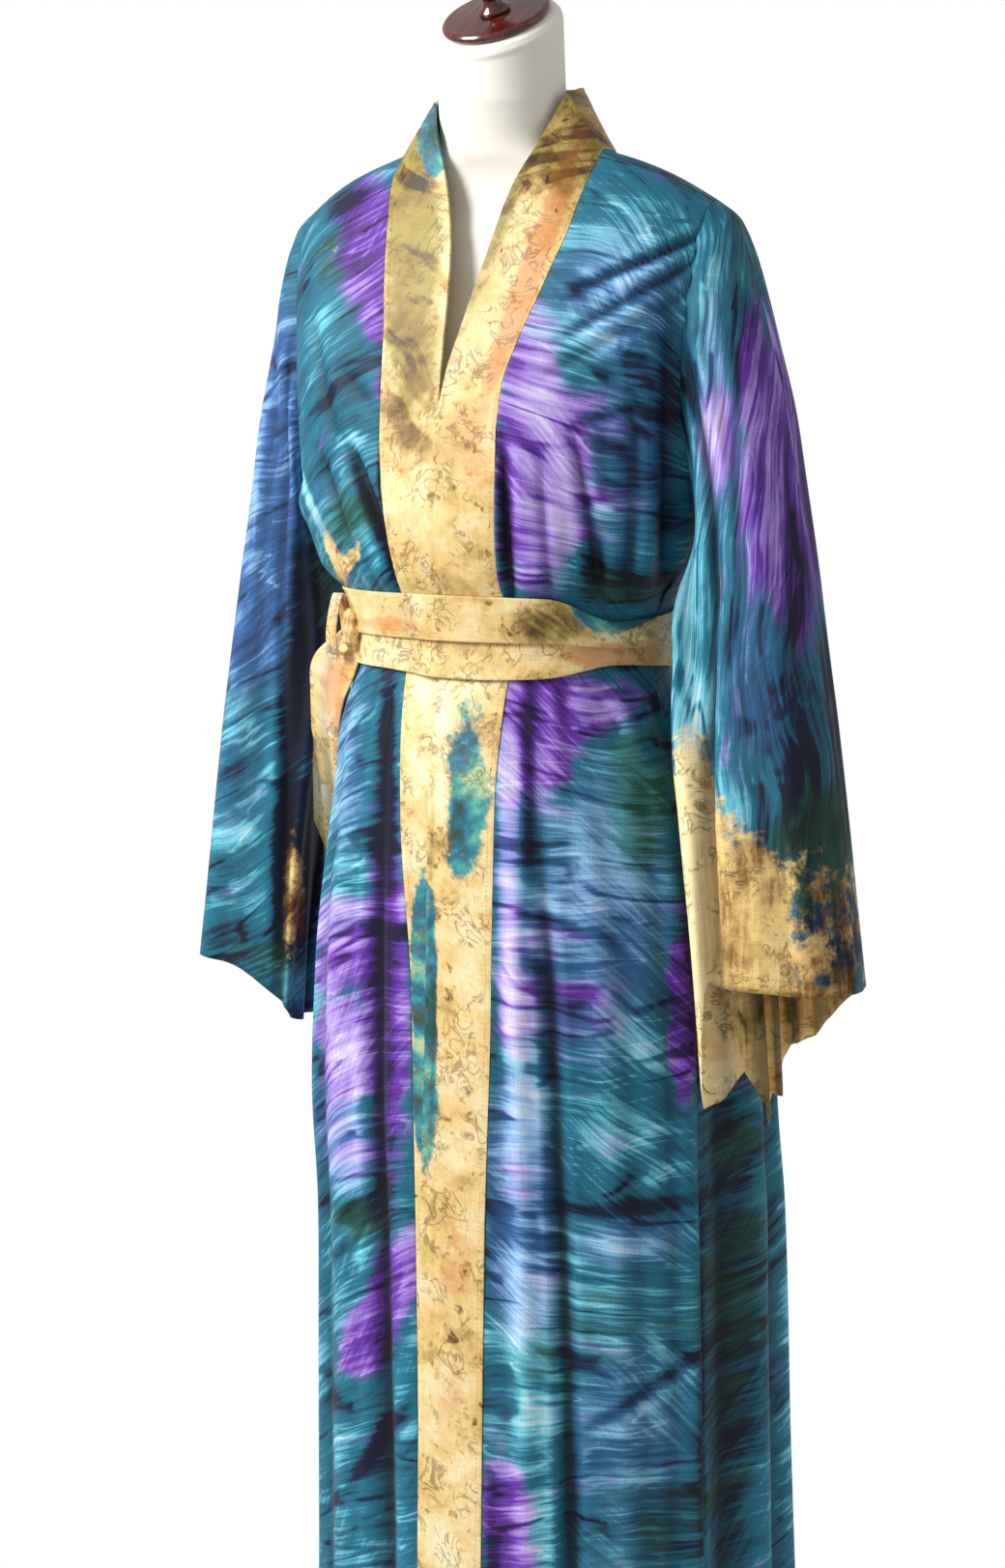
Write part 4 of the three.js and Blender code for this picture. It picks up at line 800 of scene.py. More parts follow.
def gather_relief(p, strength):
    """Small gathers that spread up and down from the sash, and slow waves of the hanging cloth."""
    angle = np.degrees(np.arctan2(p[..., 0], -p[..., 1])) / 360
    z = p[..., 2]
    below = smooth((WAIST_Z - 22 - z) / 20) * np.exp(-np.clip(WAIST_Z - 30 - z, 0, None) / 90)
    above = smooth((z - WAIST_Z - 34) / 16) * np.exp(-np.clip(z - WAIST_Z - 40, 0, None) / 45)
    fine = ripple(angle * 34, z / 400, 5)
    slow = ripple(angle * 9, z / 260, 9) * smooth((WAIST_Z - 60 - z) / 300)
    bodice = ripple(angle * 7, z / 120, 11) * smooth((z - UNDERARM_Z) / 40) * smooth((1370 - z) / 50)
    return strength * (fine * (3.2 * below + 2.0 * above) + 1.6 * slow + 1.5 * bodice)


# ---- meshes ----

FOLD_REACH = 22  # how far to either side of a point the cloth is averaged
FOLD_DEPTH = 5  # a point this far below the average is fully in a valley
DYE_MOST = 1.2  # zones that overlap add up to this at most


def normals_of(grid):
    """Unit directions square to a grid of points."""
    across = np.gradient(grid, axis=1)
    down = np.gradient(grid, axis=0)
    n = np.cross(across, down)
    size = lengths(n)
    return n / np.where(size > 1e-9, size, 1)


def cloth_mesh(
    name, columns, rows, place, relief=None, zones=None, dyes=SILK_DYES, closed=False, axial=False
):
    """A sheet of cloth, from a grid whose points are moved to place(u, v), in millimetres."""
    bm = bmesh.new()
    layer = bm.loops.layers.uv.new("cloth")
    bmesh.ops.create_grid(bm, x_segments=columns, y_segments=rows, size=0.5, calc_uvs=True)
    flat = np.array([v.co[:2] for v in bm.verts]) + 0.5
    i, j = np.rint(flat[:, 0] * columns).astype(int), np.rint(flat[:, 1] * rows).astype(int)
    u, v = np.meshgrid(np.linspace(0, 1, columns + 1), np.linspace(0, 1, rows + 1))
    grid = place(u, v)
    n = normals_of(grid)
    centre = grid.mean(axis=1, keepdims=True) if closed else grid.mean(axis=(0, 1)) * np.array([0, 0, 1])
    if (n * (grid - centre)).sum() < 0:
        n = -n
    far_u, far_v = axial_distances(grid) if axial else distances(grid)
    far_u = evened(far_u, rows // 12, 0)
    far_v = far_v if axial else evened(far_v, columns // 5, 1)
    far_u = far_u - far_u[:, [columns // 2]]
    if relief is not None:
        grid = grid + n * relief(u, v, grid)[..., None]
    if closed:
        grid[:, -1] = grid[:, 0]
    # Dye amounts, some of which also paint shade and highlights, then the painted valley shade and ridge
    # highlight of the folds.
    dye = dye_of(grid, zones or {}, dyes)
    dye = np.concatenate([dye, np.stack(fold_shade(grid, n, columns, closed), axis=-1)], axis=-1)
    # The dye attribute holds the first four amounts; tone holds the last two, the painted valley shade
    # and the painted ridge highlight.
    first = bm.verts.layers.float_color.new("dye")
    second = bm.verts.layers.float_color.new("tone")
    hem = bm.verts.layers.float.new("hem")
    for vert, a, b in zip(bm.verts, i, j):
        vert.co = grid[b, a] * MM
        vert[first], vert[second] = dye[b, a, :4], dye[b, a, 4:]
        vert[hem] = (far_v[-1, a] - far_v[b, a]) * MM
    for face in bm.faces:
        for loop in face.loops:
            a, b = round(loop[layer].uv[0] * columns), round(loop[layer].uv[1] * rows)
            loop[layer].uv = (far_u[b, a] * MM, -far_v[b, a] * MM)
    if closed:
        bmesh.ops.remove_doubles(bm, verts=bm.verts, dist=1e-6)
    bm.normal_update()
    inside = Vector(grid[rows // 2, columns // 2] * MM)
    probe = min(bm.faces, key=lambda f: (f.calc_center_median() - inside).length)
    if probe.normal.dot(Vector(n[rows // 2, columns // 2])) < 0:
        bmesh.ops.reverse_faces(bm, faces=bm.faces)
    return filled(name, bm)


def filled(name, bm):
    """A new mesh from a bmesh, which is freed."""
    mesh = bpy.data.meshes.new(name)
    bm.to_mesh(mesh)
    bm.free()
    return mesh


def distances(grid):
    """Lengths along the cloth from its first column and from its first row."""
    step_u, step_v = lengths(np.diff(grid, axis=1))[..., 0], lengths(np.diff(grid, axis=0))[..., 0]
    far_u = np.concatenate([np.zeros((len(grid), 1)), np.cumsum(step_u, axis=1)], axis=1)
    far_v = np.concatenate([np.zeros((1, grid.shape[1])), np.cumsum(step_v, axis=0)], axis=0)
    return far_u, far_v


def axial_distances(grid):
    """Lengths round a slanted tube and along its axis, square to each other."""
    axis = grid[-1].mean(axis=0) - grid[0].mean(axis=0)
    far_v = (grid - grid[0].mean(axis=0)) @ (axis / np.linalg.norm(axis))
    step = lengths(np.diff(grid, axis=1))[..., 0]
    level = np.sqrt(np.clip(step**2 - np.diff(far_v, axis=1) ** 2, 0, None))
    return np.concatenate([np.zeros((len(grid), 1)), np.cumsum(level, axis=1)], axis=1), far_v


def evened(values, window, axis):
    """Values averaged along one axis over a window to either side."""
    window = max(int(window), 1)
    for _ in range(2):
        pad = [(window, window) if k == axis else (0, 0) for k in (0, 1)]
        total = np.cumsum(np.pad(values, pad, mode="edge"), axis=axis)
        total = np.concatenate([np.zeros_like(np.take(total, [0], axis)), total], axis=axis)
        size = 2 * window + 1
        count = values.shape[axis]
        upper = np.take(total, np.arange(size, size + count), axis)
        values = (upper - np.take(total, np.arange(count), axis)) / size
    return values


def fold_shade(grid, n, columns, closed):
    """How far each point lies below and above the cloth around it, from 0 to 1: the amounts of painted
    shade in the valleys and painted highlight on the ridges.
    """
    reach = np.median(lengths(np.diff(grid, axis=1)))
    window = int(np.clip(round(FOLD_REACH / max(reach, 0.5)), 1, columns // 3))
    mode = "wrap" if closed else "edge"
    ring_points = grid[:, :-1] if closed else grid
    padded = np.pad(ring_points, ((0, 0), (window, window), (0, 0)), mode=mode)
    total = np.cumsum(np.pad(padded, ((0, 0), (1, 0), (0, 0))), axis=1)
    size = 2 * window + 1
    around = (total[:, size:] - total[:, :-size]) / size
    if closed:
        around = np.concatenate([around, around[:, :1]], axis=1)
    rise = ((grid - around) * n).sum(axis=-1)
    rise = rise - np.median(rise)
    return np.clip(-rise / FOLD_DEPTH, 0, 1), np.clip(rise / FOLD_DEPTH, 0, 1)


def dye_of(grid, zones, dyes):
    """Amounts of the dyes at each point, from soft zones, some of which paint shade and highlights."""
    x, z = across_of(grid), grid[..., 2]
    amounts = {dye: np.zeros_like(x) for dye in dyes}
    for dye, rows in zones.items():
        for across, up, wide, tall, lean, amount in rows:
            c, s = math.cos(math.radians(lean)), math.sin(math.radians(lean))
            dx, dz = x - across, z - up
            a, b = (dx * c + dz * s) / wide, (dz * c - dx * s) / tall
            amounts[dye] += amount * np.exp(-((a * a + b * b) ** 1.5))
    return np.stack([np.clip(amounts[dye], 0, DYE_MOST) for dye in dyes], axis=-1)


def finish_piece(name, mesh, material, slot, thickness=0.0, rounding=0.0, node=None):
    """Links a piece, gives it its wall and finish, and lets it stand for its CAD node; slot is not used.
    """
    piece = bpy.data.objects.new(name, mesh)
    bpy.context.scene.collection.objects.link(piece)
    mesh.shade_smooth()
    mesh.materials.append(material)
    if thickness:
        wall = piece.modifiers.new("wall", "SOLIDIFY")
        wall.thickness, wall.offset, wall.use_rim = thickness, 0.0, True
    if rounding:
        edge = piece.modifiers.new("edges", "BEVEL")
        edge.width, edge.segments, edge.limit_method = rounding, 2, "ANGLE"
        edge.angle_limit = math.radians(50)
    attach(piece, "root")
    if node:
        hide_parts(node)
    return piece


def cloth_piece(node, slot, material, wall, held, rests_on, *grid, rounding=0.0, **options):
    """A piece of cloth that stands for its CAD node."""
    name = "robe_" + node
    piece = finish_piece(name, cloth_mesh(name, *grid, **options), material, slot, wall, rounding, node)


def turned(name, profile, steps, place, rounding=0.0):
    """A turned piece: a profile of (radius, height) spun once, then placed."""
    bm = bmesh.new()
    verts = [bm.verts.new((r, 0, h)) for r, h in profile]
    edges = [bm.edges.new(pair) for pair in zip(verts, verts[1:])]
    bmesh.ops.spin(
        bm, geom=verts + edges, cent=(0, 0, 0), axis=(0, 0, 1), angle=2 * math.pi, steps=steps,
        use_merge=True, use_duplicate=False,
    )
    bmesh.ops.remove_doubles(bm, verts=bm.verts, dist=1e-4)
    bmesh.ops.recalc_face_normals(bm, faces=bm.faces)
    if rounding:
        inner = [edge for edge in bm.edges if len(edge.link_faces) == 2]
        sharp = [edge for edge in inner if edge.calc_face_angle(0) > math.radians(35)]
        bmesh.ops.bevel(
            bm, geom=sharp, offset=rounding, offset_type="OFFSET", affect="EDGES", segments=3,
            profile=0.5, material=-1, clamp_overlap=True,
        )
    for vert in bm.verts:
        vert.co = Vector(place(*vert.co)) * MM
    bmesh.ops.recalc_face_normals(bm, faces=bm.faces)
    return filled(name, bm)


def on_neck(x, y, h):
    """A place on the neck's leaning top, h above it."""
    tilt = math.radians(NECK_TILT)
    return (
        x, NECK_TOP_Y + y * math.cos(tilt) - h * math.sin(tilt),
        NECK_TOP_Z + y * math.sin(tilt) + h * math.cos(tilt),
    )


# ---- shader nodes ----

HEM_STITCH, BAND_STITCH = 0.012, -0.026  # metres from the hem, and across the band from its middle
STITCH_HALF = 0.0006  # metres, half a stitch's width
END_WALL, END_ROUND = 0.0016, 0.0004  # metres, the wall and edge rounding of the ends and loop
DOUBLED_ROUND = 0.0006  # metres, the edge rounding of the doubled cloth
BUMP, BUMP_DEPTH = 0.35, 0.0004  # the silks' bump strength and distance
CROSS_ANGLE = 0.75  # between the two directions of the brush strokes, in radians
FULL_TURN = 6.283

class Net:
    """Adds and links the nodes of one tree."""

    def __init__(self, tree):
        self.tree = tree

    def add(self, kind, inputs=(), **settings):
        made = self.tree.nodes.new("ShaderNode" + kind)
        for key, value in settings.items():
            setattr(made, key, value)
        for key, value in dict(inputs).items():
            self.put(made.inputs[key], value)
        return made

    def put(self, socket, value):
        if isinstance(value, bpy.types.Node):
            value = value.outputs[0]
        if isinstance(value, bpy.types.NodeSocket):
            self.tree.links.new(value, socket)
        else:
            socket.default_value = (*value, 1.0) if isinstance(value, np.ndarray) else value

    def math(self, operation, a, b=0.0, c=0.0, clamp=False):
        return self.add("Math", {0: a, 1: b, 2: c}, operation=operation, use_clamp=clamp).outputs[0]

    def times(self, a, b):
        return self.math("MULTIPLY", a, b)

    def plus(self, a, b):
        return self.math("ADD", a, b)

    def minus(self, a, b, clamp=False):
        return self.math("SUBTRACT", a, b, clamp=clamp)

    def ease(self, value, low, high, to_low=0.0, to_high=1.0):
        """A smooth step of a value from low to high."""
        inputs = {"Value": value, "From Min": low, "From Max": high, "To Min": to_low, "To Max": to_high}
        return self.add("MapRange", inputs, interpolation_type="SMOOTHSTEP").outputs["Result"]

    def blend(self, factor, a, b, kind="MIX"):
        made = self.add("Mix", data_type="RGBA", blend_type=kind, clamp_factor=True)
        for index, value in ((0, factor), (6, a), (7, b)):
            self.put(made.inputs[index], value)
        return made.outputs[2]

    def ramp(self, factor, stops):
        made = self.add("ValToRGB", {"Fac": factor})
        elements = made.color_ramp.elements
        for _ in stops[2:]:
            elements.new(0.5)
        for element, (position, _) in zip(elements, stops):
            element.position = position
        for element, (_, colour) in zip(elements, stops):
            element.color = (*colour, 1.0)
        return made.outputs["Color"]

    def total(self, start, *parts):
        """The start, plus each value times its share."""
        for value, share in parts:
            start = self.math("MULTIPLY_ADD", value, share, start)
        return start

    def shared(self, build, inputs):
        """The outputs of a shared group with its own values, built at its first use."""
        tree = bpy.data.node_groups.get(build.__name__) or build()
        return self.add("Group", inputs, node_tree=tree).outputs

    def results(self, sockets, values):
        """Links a group's results, and gives its tree."""
        for key, value in values.items():
            self.put(sockets[key], value)
        return self.tree

    def moved(self, vector, seed):
        """A vector moved by a seed along all three axes."""
        return self.vector("ADD", vector, self.add("CombineXYZ", {"X": seed, "Y": seed, "Z": seed}))

    def dimmed(self, colour, shade):
        """A colour times a grey."""
        grey = self.add("CombineColor", {"Red": shade, "Green": shade, "Blue": shade})
        return self.blend(1.0, colour, grey.outputs[0], "MULTIPLY")

    def noise(self, vector, scale, **settings):
        return self.add("TexNoise", {"Vector": vector, "Scale": scale, **settings}).outputs[0]

    def vector(self, operation, a, b=None, scale=None):
        made = self.add("VectorMath", {0: a}, operation=operation)
        if b is not None:
            self.put(made.inputs[1], b)
        if scale is not None:
            self.put(made.inputs["Scale"], scale)
        return made.outputs[0]


def group(name, inputs, outputs):
    """A new shader node group with named sockets, and its net."""
    tree = bpy.data.node_groups.new(name, "ShaderNodeTree")
    sockets = [(key, "INPUT", value) for key, value in inputs.items()]
    sockets += [(key, "OUTPUT", None) for key in outputs.split()]
    for key, way, value in sockets:
        kind = key if key in ("Vector", "Color") else "Float"
        made = tree.interface.new_socket(name=key, in_out=way, socket_type="NodeSocket" + kind)
        if value is not None:
            made.default_value = value
    start, end = tree.nodes.new("NodeGroupInput"), tree.nodes.new("NodeGroupOutput")
    return Net(tree), start.outputs, end.inputs


def marbling():
    """Brushed marbling: fine and broad strokes along one direction, bent by slow swirls."""
    net, given, made = group(
        "marbling", {"Vector": None, "Turn": 0.0, "Swirl": 0.03, "Seed": 0.0, "Cross": 0.3},
        "Fine Brush Blot Vein Thread Edge",
    )
    base = net.moved(given["Vector"], given["Seed"])
    bent = base
    for scale, share in ((3.4, 1.0), (9.0, 0.32)):
        wave = net.add("TexNoise", {"Vector": base, "Scale": scale, "Detail": 1.0})
        bend = net.vector("SUBTRACT", wave.outputs["Color"], (0.5, 0.5, 0.5))
        bend = net.vector("SCALE", bend, scale=net.times(given["Swirl"], 2 * share))
        bent = net.vector("ADD", bent, bend)
    along, aslant = (
        net.add("VectorRotate", {"Vector": bent, "Angle": angle}, rotation_type="Z_AXIS")
        for angle in (given["Turn"], net.minus(given["Turn"], CROSS_ANGLE))
    )
    where = net.noise(bent, 8.0, Detail=2.0)
    cross = net.times(net.ease(where, 0.46, 0.58), given["Cross"])

    def strokes(sizes, direction=along, **settings):
        return net.noise(net.vector("MULTIPLY", direction, sizes), 1.0, **settings)

    def crossed(sizes, **settings):
        pair = [strokes(sizes, direction, **settings) for direction in (along, aslant)]
        return net.math("MULTIPLY_ADD", net.minus(pair[1], pair[0]), cross, pair[0])

    def line_of(value, wide, narrow):
        return net.ease(net.math("ABSOLUTE", net.minus(value, 0.5)), wide, narrow)

    fine = crossed((14.0, 260.0, 1.0), Detail=4.0, Roughness=0.6)
    brush = crossed((7.0, 48.0, 1.0), Detail=3.0, Roughness=0.55)
    vein = strokes((4.0, 24.0, 2.0), Detail=2.0, Roughness=0.45, Distortion=0.25)
    thread = strokes((7.0, 60.0, 5.0), Detail=2.0, Roughness=0.45, Distortion=0.2)
    blot = net.noise(bent, 11.0, Detail=4.0, Roughness=0.55)
    patchy = net.noise(bent, 19.0, Detail=2.0)
    edge = net.noise(net.vector("MULTIPLY", along, (0.6, 1.5, 1.0)), 24.0, Detail=6.0, Roughness=0.68)
    vein = net.times(line_of(vein, 0.03, 0.005), net.ease(patchy, 0.44, 0.56))
    thread = net.times(line_of(thread, 0.022, 0.004), net.ease(patchy, 0.58, 0.46))
    results = {
        "Fine": net.ease(fine, 0.3, 0.7), "Brush": net.ease(brush, 0.3, 0.7),
        "Blot": net.ease(blot, 0.32, 0.68), "Vein": vein, "Thread": thread, "Edge": edge,
    }
    return net.results(made, results)


def weave():
    """Silk weave: fine threads both ways, with uneven slubs. Height is for bump."""
    net, given, made = group("weave", {"Vector": None, "Threads": 1300.0, "Slub": 1.0}, "Height Shade")
    split = net.add("SeparateXYZ", {"Vector": given["Vector"]})
    threads = (net.times(split.outputs[axis], given["Threads"]) for axis in "XY")
    warp, weft = (net.math("SINE", net.times(thread, FULL_TURN)) for thread in threads)
    slubs = [
        net.noise(net.vector("MULTIPLY", given["Vector"], sizes), 1.0, Detail=2.0)
        for sizes in ((60.0, 900.0, 1.0), (900.0, 60.0, 1.0))
    ]
    slub = net.minus(net.plus(*slubs), 1.0)
    slub = net.times(slub, given["Slub"])
    height = net.plus(net.times(net.times(warp, weft), 0.25), slub)
    return net.results(made, {"Height": height, "Shade": net.ease(slub, -0.35, 0.35)})


def crackle():
    """Thin broken squiggles, as wax-resist lines on silk, with blots and soft mottling."""
    net, given, made = group(
        "crackle", {"Vector": None, "Scale": 60.0, "Width": 0.05, "Seed": 0.0}, "Line Mottle Blot Edge"
    )
    base = net.moved(given["Vector"], given["Seed"])

    def noise(share, **settings):
        return net.noise(base, net.times(given["Scale"], share), **settings)

    curl = noise(1.0, Detail=3.0, Roughness=0.55, Distortion=1.3)
    ridge = net.math("ABSOLUTE", net.minus(curl, 0.5))
    line = net.minus(1.0, net.math("DIVIDE", ridge, given["Width"]), clamp=True)
    results = {
        "Line": net.times(line, net.ease(noise(0.55, Detail=2.0), 0.46, 0.56)),
        "Mottle": net.ease(noise(0.45, Detail=5.0, Roughness=0.65), 0.3, 0.7),
        "Blot": net.ease(noise(1.7, Detail=3.0, Roughness=0.6, Distortion=0.5), 0.6, 0.72),
        "Edge": noise(0.6, Detail=6.0, Roughness=0.7),
    }
    return net.results(made, results)


def dye_area():
    """Where a dye is: its soft amount, with an uneven marbled edge."""
    net, given, made = group(
        "dye_area", {"Amount": 0.0, "Edge": 0.5, "Soft": 0.16, "Uneven": 2.1}, "Area"
    )
    edge = net.times(net.minus(given["Edge"], 0.5), given["Uneven"])
    uneven = net.plus(given["Amount"], edge)
    uneven = net.times(uneven, net.ease(given["Amount"], 0.03, 0.2))
    low, high = (net.math(way, 0.5, given["Soft"]) for way in ("SUBTRACT", "ADD"))
    return net.results(made, {"Area": net.ease(uneven, low, high)})


def stitching():
    """Sewn dashes where a distance across the cloth is At."""
    net, given, made = group(
        "stitching", {"Vector": None, "Distance": 0.0, "At": 0.012, "Pitch": 0.004}, "Stitch"
    )
    near = net.math("ABSOLUTE", net.minus(given["Distance"], given["At"]))
    line = net.minus(1.0, net.math("DIVIDE", near, STITCH_HALF), clamp=True)
    split = net.add("SeparateXYZ", {"Vector": given["Vector"]})
    turn = net.plus(split.outputs["X"], split.outputs["Y"])
    turn = net.times(turn, net.math("DIVIDE", FULL_TURN, given["Pitch"]))
    dashes = net.ease(net.math("SINE", turn), -0.5, 0.1)
    return net.results(made, {"Stitch": net.times(line, dashes)})


def cloth_shade():
    """Cloth in the folds: painted shade deepens the valleys and a painted highlight lifts the ridges a
    little.
    """
    net, given, made = group(
        "cloth_shade", {"Color": None, "Valley": 0.0, "Ridge": 0.0, "Dim": 0.5, "Lift": 0.1}, "Color"
    )
    shade = net.minus(1.0, net.times(given["Valley"], given["Dim"]))
    shade = net.plus(shade, net.times(given["Ridge"], given["Lift"]))
    return net.results(made, {"Color": net.dimmed(given["Color"], shade)})


class Finish(Net):
    """A new material, with the nodes that lead to its shader."""

    def __init__(self, name):
        self.material = bpy.data.materials.new(name)
        self.material.use_nodes = True
        super().__init__(self.material.node_tree)
        self.shader = self.tree.nodes["Principled BSDF"].inputs

    def cloth(self, seed, scale):
        """A cloth's UV map, its six dye amounts with its painted valley shade and ridge highlight, its
        weave and its squiggles.
        """
        uv, painted = self.add("UVMap", uv_map="cloth").outputs["UV"], []
        for name in ("dye", "tone"):
            found = self.add("Attribute", attribute_name=name)
            split = self.add("SeparateColor", {"Color": found.outputs["Color"]})
            painted += [*split.outputs[:3], found.outputs["Alpha"]]
        cracks = self.shared(crackle, {"Vector": uv, "Scale": scale, "Seed": seed})
        return uv, painted, self.shared(weave, {"Vector": uv}), cracks

    def area(self, amount, edge, soft=0.16, uneven=2.1):
        """Where a dye is, as a mask."""
        return self.shared(dye_area, {"Amount": amount, "Edge": edge, "Soft": soft, "Uneven": uneven})[0]

    def done(self, colour, roughness, height, strength, distance=0.0003, **fixed):
        """Fills the shader's sockets: what varies over the surface, then what is the same all over."""
        bump = self.add("Bump", {"Strength": strength, "Distance": distance, "Height": height})
        varied = {"Base Color": colour, "Roughness": roughness, "Normal": bump}
        for key, value in [*varied.items(), *fixed.items()]:
            self.put(self.shader[key.replace("_", " ")], value)
        return self.material


def colours():
    """The colours that the user sets."""
    given = bpy.context.scene.duster_colours
    return SimpleNamespace(**{key: np.array(getattr(given, key)) for key in given.__annotations__})


def silk(name, turn, seed, swirl=0.045, cross=0.25):
    """Marbled silk: one brushed pattern in four colourings, with gold areas; its light and deep-toned
    amounts also paint highlights and shade, and its folds get painted shade and highlights.
    """
    net, c = Finish(name), colours()
    uv, painted, woven, cracks = net.cloth(seed, 55.0)
    purple, light, dark_and_shade, gold, blue, green, valley, ridge = painted
    # The painted valley shade is weaker where the light amount paints a highlight.
    valley = net.times(valley, net.ease(light, 0.1, 1.0, 1.0, 0.3))
    given = {"Vector": uv, "Turn": math.radians(turn), "Seed": seed, "Swirl": swirl, "Cross": cross}
    fine, brush, blot, vein, thread, edge = net.shared(marbling, given)
    # Light amounts add lighter print and painted highlights, deep-toned amounts add deeper print and
    # painted shade, and ridges add a painted highlight.
    value = net.total(
        0.13, (fine, 0.27), (brush, 0.26), (blot, 0.22), (light, 0.4), (dark_and_shade, -0.4), (vein, -0.28),
        (thread, 0.13), (ridge, 0.1),
    )
    teals = net.ramp(value, [
        (0.0, c.navy * 0.45), (0.2, c.navy), (0.42, mix(c.navy, c.teal, 0.75)), (0.6, c.teal),
        (0.8, c.aqua), (1.0, mix(c.aqua, 1.0, 0.5)),
    ])
    blues = net.ramp(value, [
        (0.0, c.navy * 0.45), (0.22, mix(c.navy, c.indigo, 0.4)), (0.48, c.indigo), (0.75, c.sky),
        (1.0, mix(c.sky, 1.0, 0.5)),
    ])
    greens = net.ramp(value, [
        (0.0, c.moss * 0.2), (0.4, c.moss), (0.75, mix(c.moss, c.aqua, 0.5)), (1.0, c.aqua),
    ])
    purples = net.ramp(value, [
        (0.0, c.plum * 0.45), (0.25, c.plum), (0.5, c.purple), (0.75, c.lavender),
        (1.0, mix(c.lavender, 1.0, 0.5)),
    ])
    tan = net.total(net.times(value, 0.6), (cracks["Mottle"], 0.5), (light, 0.25))
    golds = net.ramp(tan, [
        (0.0, c.brown * 0.3), (0.2, c.brown), (0.42, mix(c.brown, c.gold, 0.6)), (0.62, c.gold),
        (1.0, c.straw),
    ])
    colour = net.blend(net.area(blue, edge, 0.4, 0.8), teals, blues)
    colour = net.blend(net.area(green, edge, 0.25), colour, greens)
    smeared = net.total(purple, (net.minus(brush, 0.5), 0.5))
    colour = net.blend(net.area(smeared, edge, 0.34, 1.8), colour, purples)
    gold_area = net.area(gold, cracks["Edge"], 0.2, 2.4)
    colour = net.blend(gold_area, colour, golds)
    line = net.times(cracks["Line"], gold_area)
    colour = net.blend(net.times(line, 0.75), colour, c.brown * 0.6)
    colour = net.dimmed(colour, net.total(0.88, (woven["Shade"], 0.24)))
    hem = net.add("Attribute", attribute_name="hem").outputs["Fac"]
    stitches = net.shared(stitching, {"Vector": uv, "Distance": hem, "At": HEM_STITCH})[0]
    colour = net.blend(net.times(stitches, 0.6), colour, c.navy)
    # Painted shade in the fold valleys and a painted highlight on the ridges.
    given = {"Color": colour, "Valley": valley, "Ridge": ridge, "Dim": 0.76, "Lift": 0.28}
    return net.done(
        net.shared(cloth_shade, given)[0], net.total(0.52, (woven["Shade"], 0.12)),
        net.total(woven["Height"], (stitches, -1.5)), BUMP, BUMP_DEPTH,
        Sheen_Weight=0.12, Sheen_Roughness=0.35, Specular_IOR_Level=0.28,
    )


def gold_silk(name, seed, edge_stitch=None):
    """Gold silk: mottled and squiggled, with brushed orange, olive and teal areas; its lighter and
    deep-toned amounts also paint highlight and shade, and its folds get painted shade and highlights.
    """
    net, c = Finish(name), colours()
    uv, painted, woven, cracks = net.cloth(seed, 50.0)
    teal, pale, dark_and_shade, orange, _, olive, valley, ridge = painted
    line, mottle, blot, edge = cracks
    brush = net.shared(marbling, {"Vector": uv, "Seed": seed, "Swirl": 0.05, "Turn": 0.8})["Brush"]
    # Lighter amounts add lighter gold silk and a painted highlight; deep-toned amounts add deeper silk
    # and painted shade.
    value = net.total(0.37, (mottle, 0.5), (pale, 0.35), (dark_and_shade, -0.4), (blot, -0.38))
    stroke = net.times(net.ease(brush, 0.5, 0.2), net.ease(olive, 0.0, 0.8, 0.1, 0.45))
    colour = net.ramp(net.minus(value, stroke), [
        (0.0, c.brown * 0.6), (0.22, mix(c.brown, c.gold, 0.35)), (0.5, c.gold), (0.8, c.straw),
        (1.0, mix(c.straw, 1.0, 0.35)),
    ])
    colour = net.blend(net.times(net.area(orange, edge, 0.35), 0.58), colour, ORANGE)
    colour = net.blend(net.area(olive, edge, 0.4), colour, net.blend(1.0, colour, OLIVE, "MULTIPLY"))
    mixed = net.total(net.total(0.17, (mottle, 0.5)), (brush, 0.4))
    teals = net.ramp(net.total(mixed, (dark_and_shade, -0.4), (pale, 0.3)), [
        (0.0, c.navy * 0.5), (0.35, c.moss), (0.55, c.teal), (0.75, SEA), (1.0, MIST),
    ])
    colour = net.blend(net.area(teal, edge, 0.2, 2.6), colour, teals)
    colour = net.blend(net.times(line, 0.7), colour, c.brown * 0.75)
    colour = net.dimmed(colour, net.total(0.9, (woven["Shade"], 0.2)))
    height = woven["Height"]
    if edge_stitch is not None:
        across = net.add("SeparateXYZ", {"Vector": uv}).outputs["X"]
        stitches = net.shared(stitching, {"Vector": uv, "Distance": across, "At": edge_stitch})[0]
        colour = net.blend(net.times(stitches, 0.5), colour, c.brown)
        height = net.total(height, (stitches, -1.5))
    # Painted shade in the fold valleys and a painted highlight on the ridges.
    given = {"Color": colour, "Valley": valley, "Ridge": ridge, "Dim": 0.55, "Lift": 0.1}
    return net.done(
        net.shared(cloth_shade, given)[0], net.total(0.45, (woven["Shade"], 0.1)), height,
        BUMP, BUMP_DEPTH, Sheen_Weight=0.12, Sheen_Roughness=0.4,
    )


def ivory_jersey():
    net, c = Finish("ivory_jersey"), colours()
    place = net.add("TexCoord").outputs["Object"]
    knit = net.shared(weave, {"Vector": place, "Threads": 700.0, "Slub": 0.4})
    soft = net.noise(place, 9.0, Detail=4.0)
    colour = net.ramp(soft, [(0.3, c.jersey * np.array([0.93, 0.9, 0.85])), (0.7, c.jersey)])
    return net.done(colour, net.total(0.8, (soft, 0.1)), knit["Height"], 0.3, Sheen_Weight=0.15)


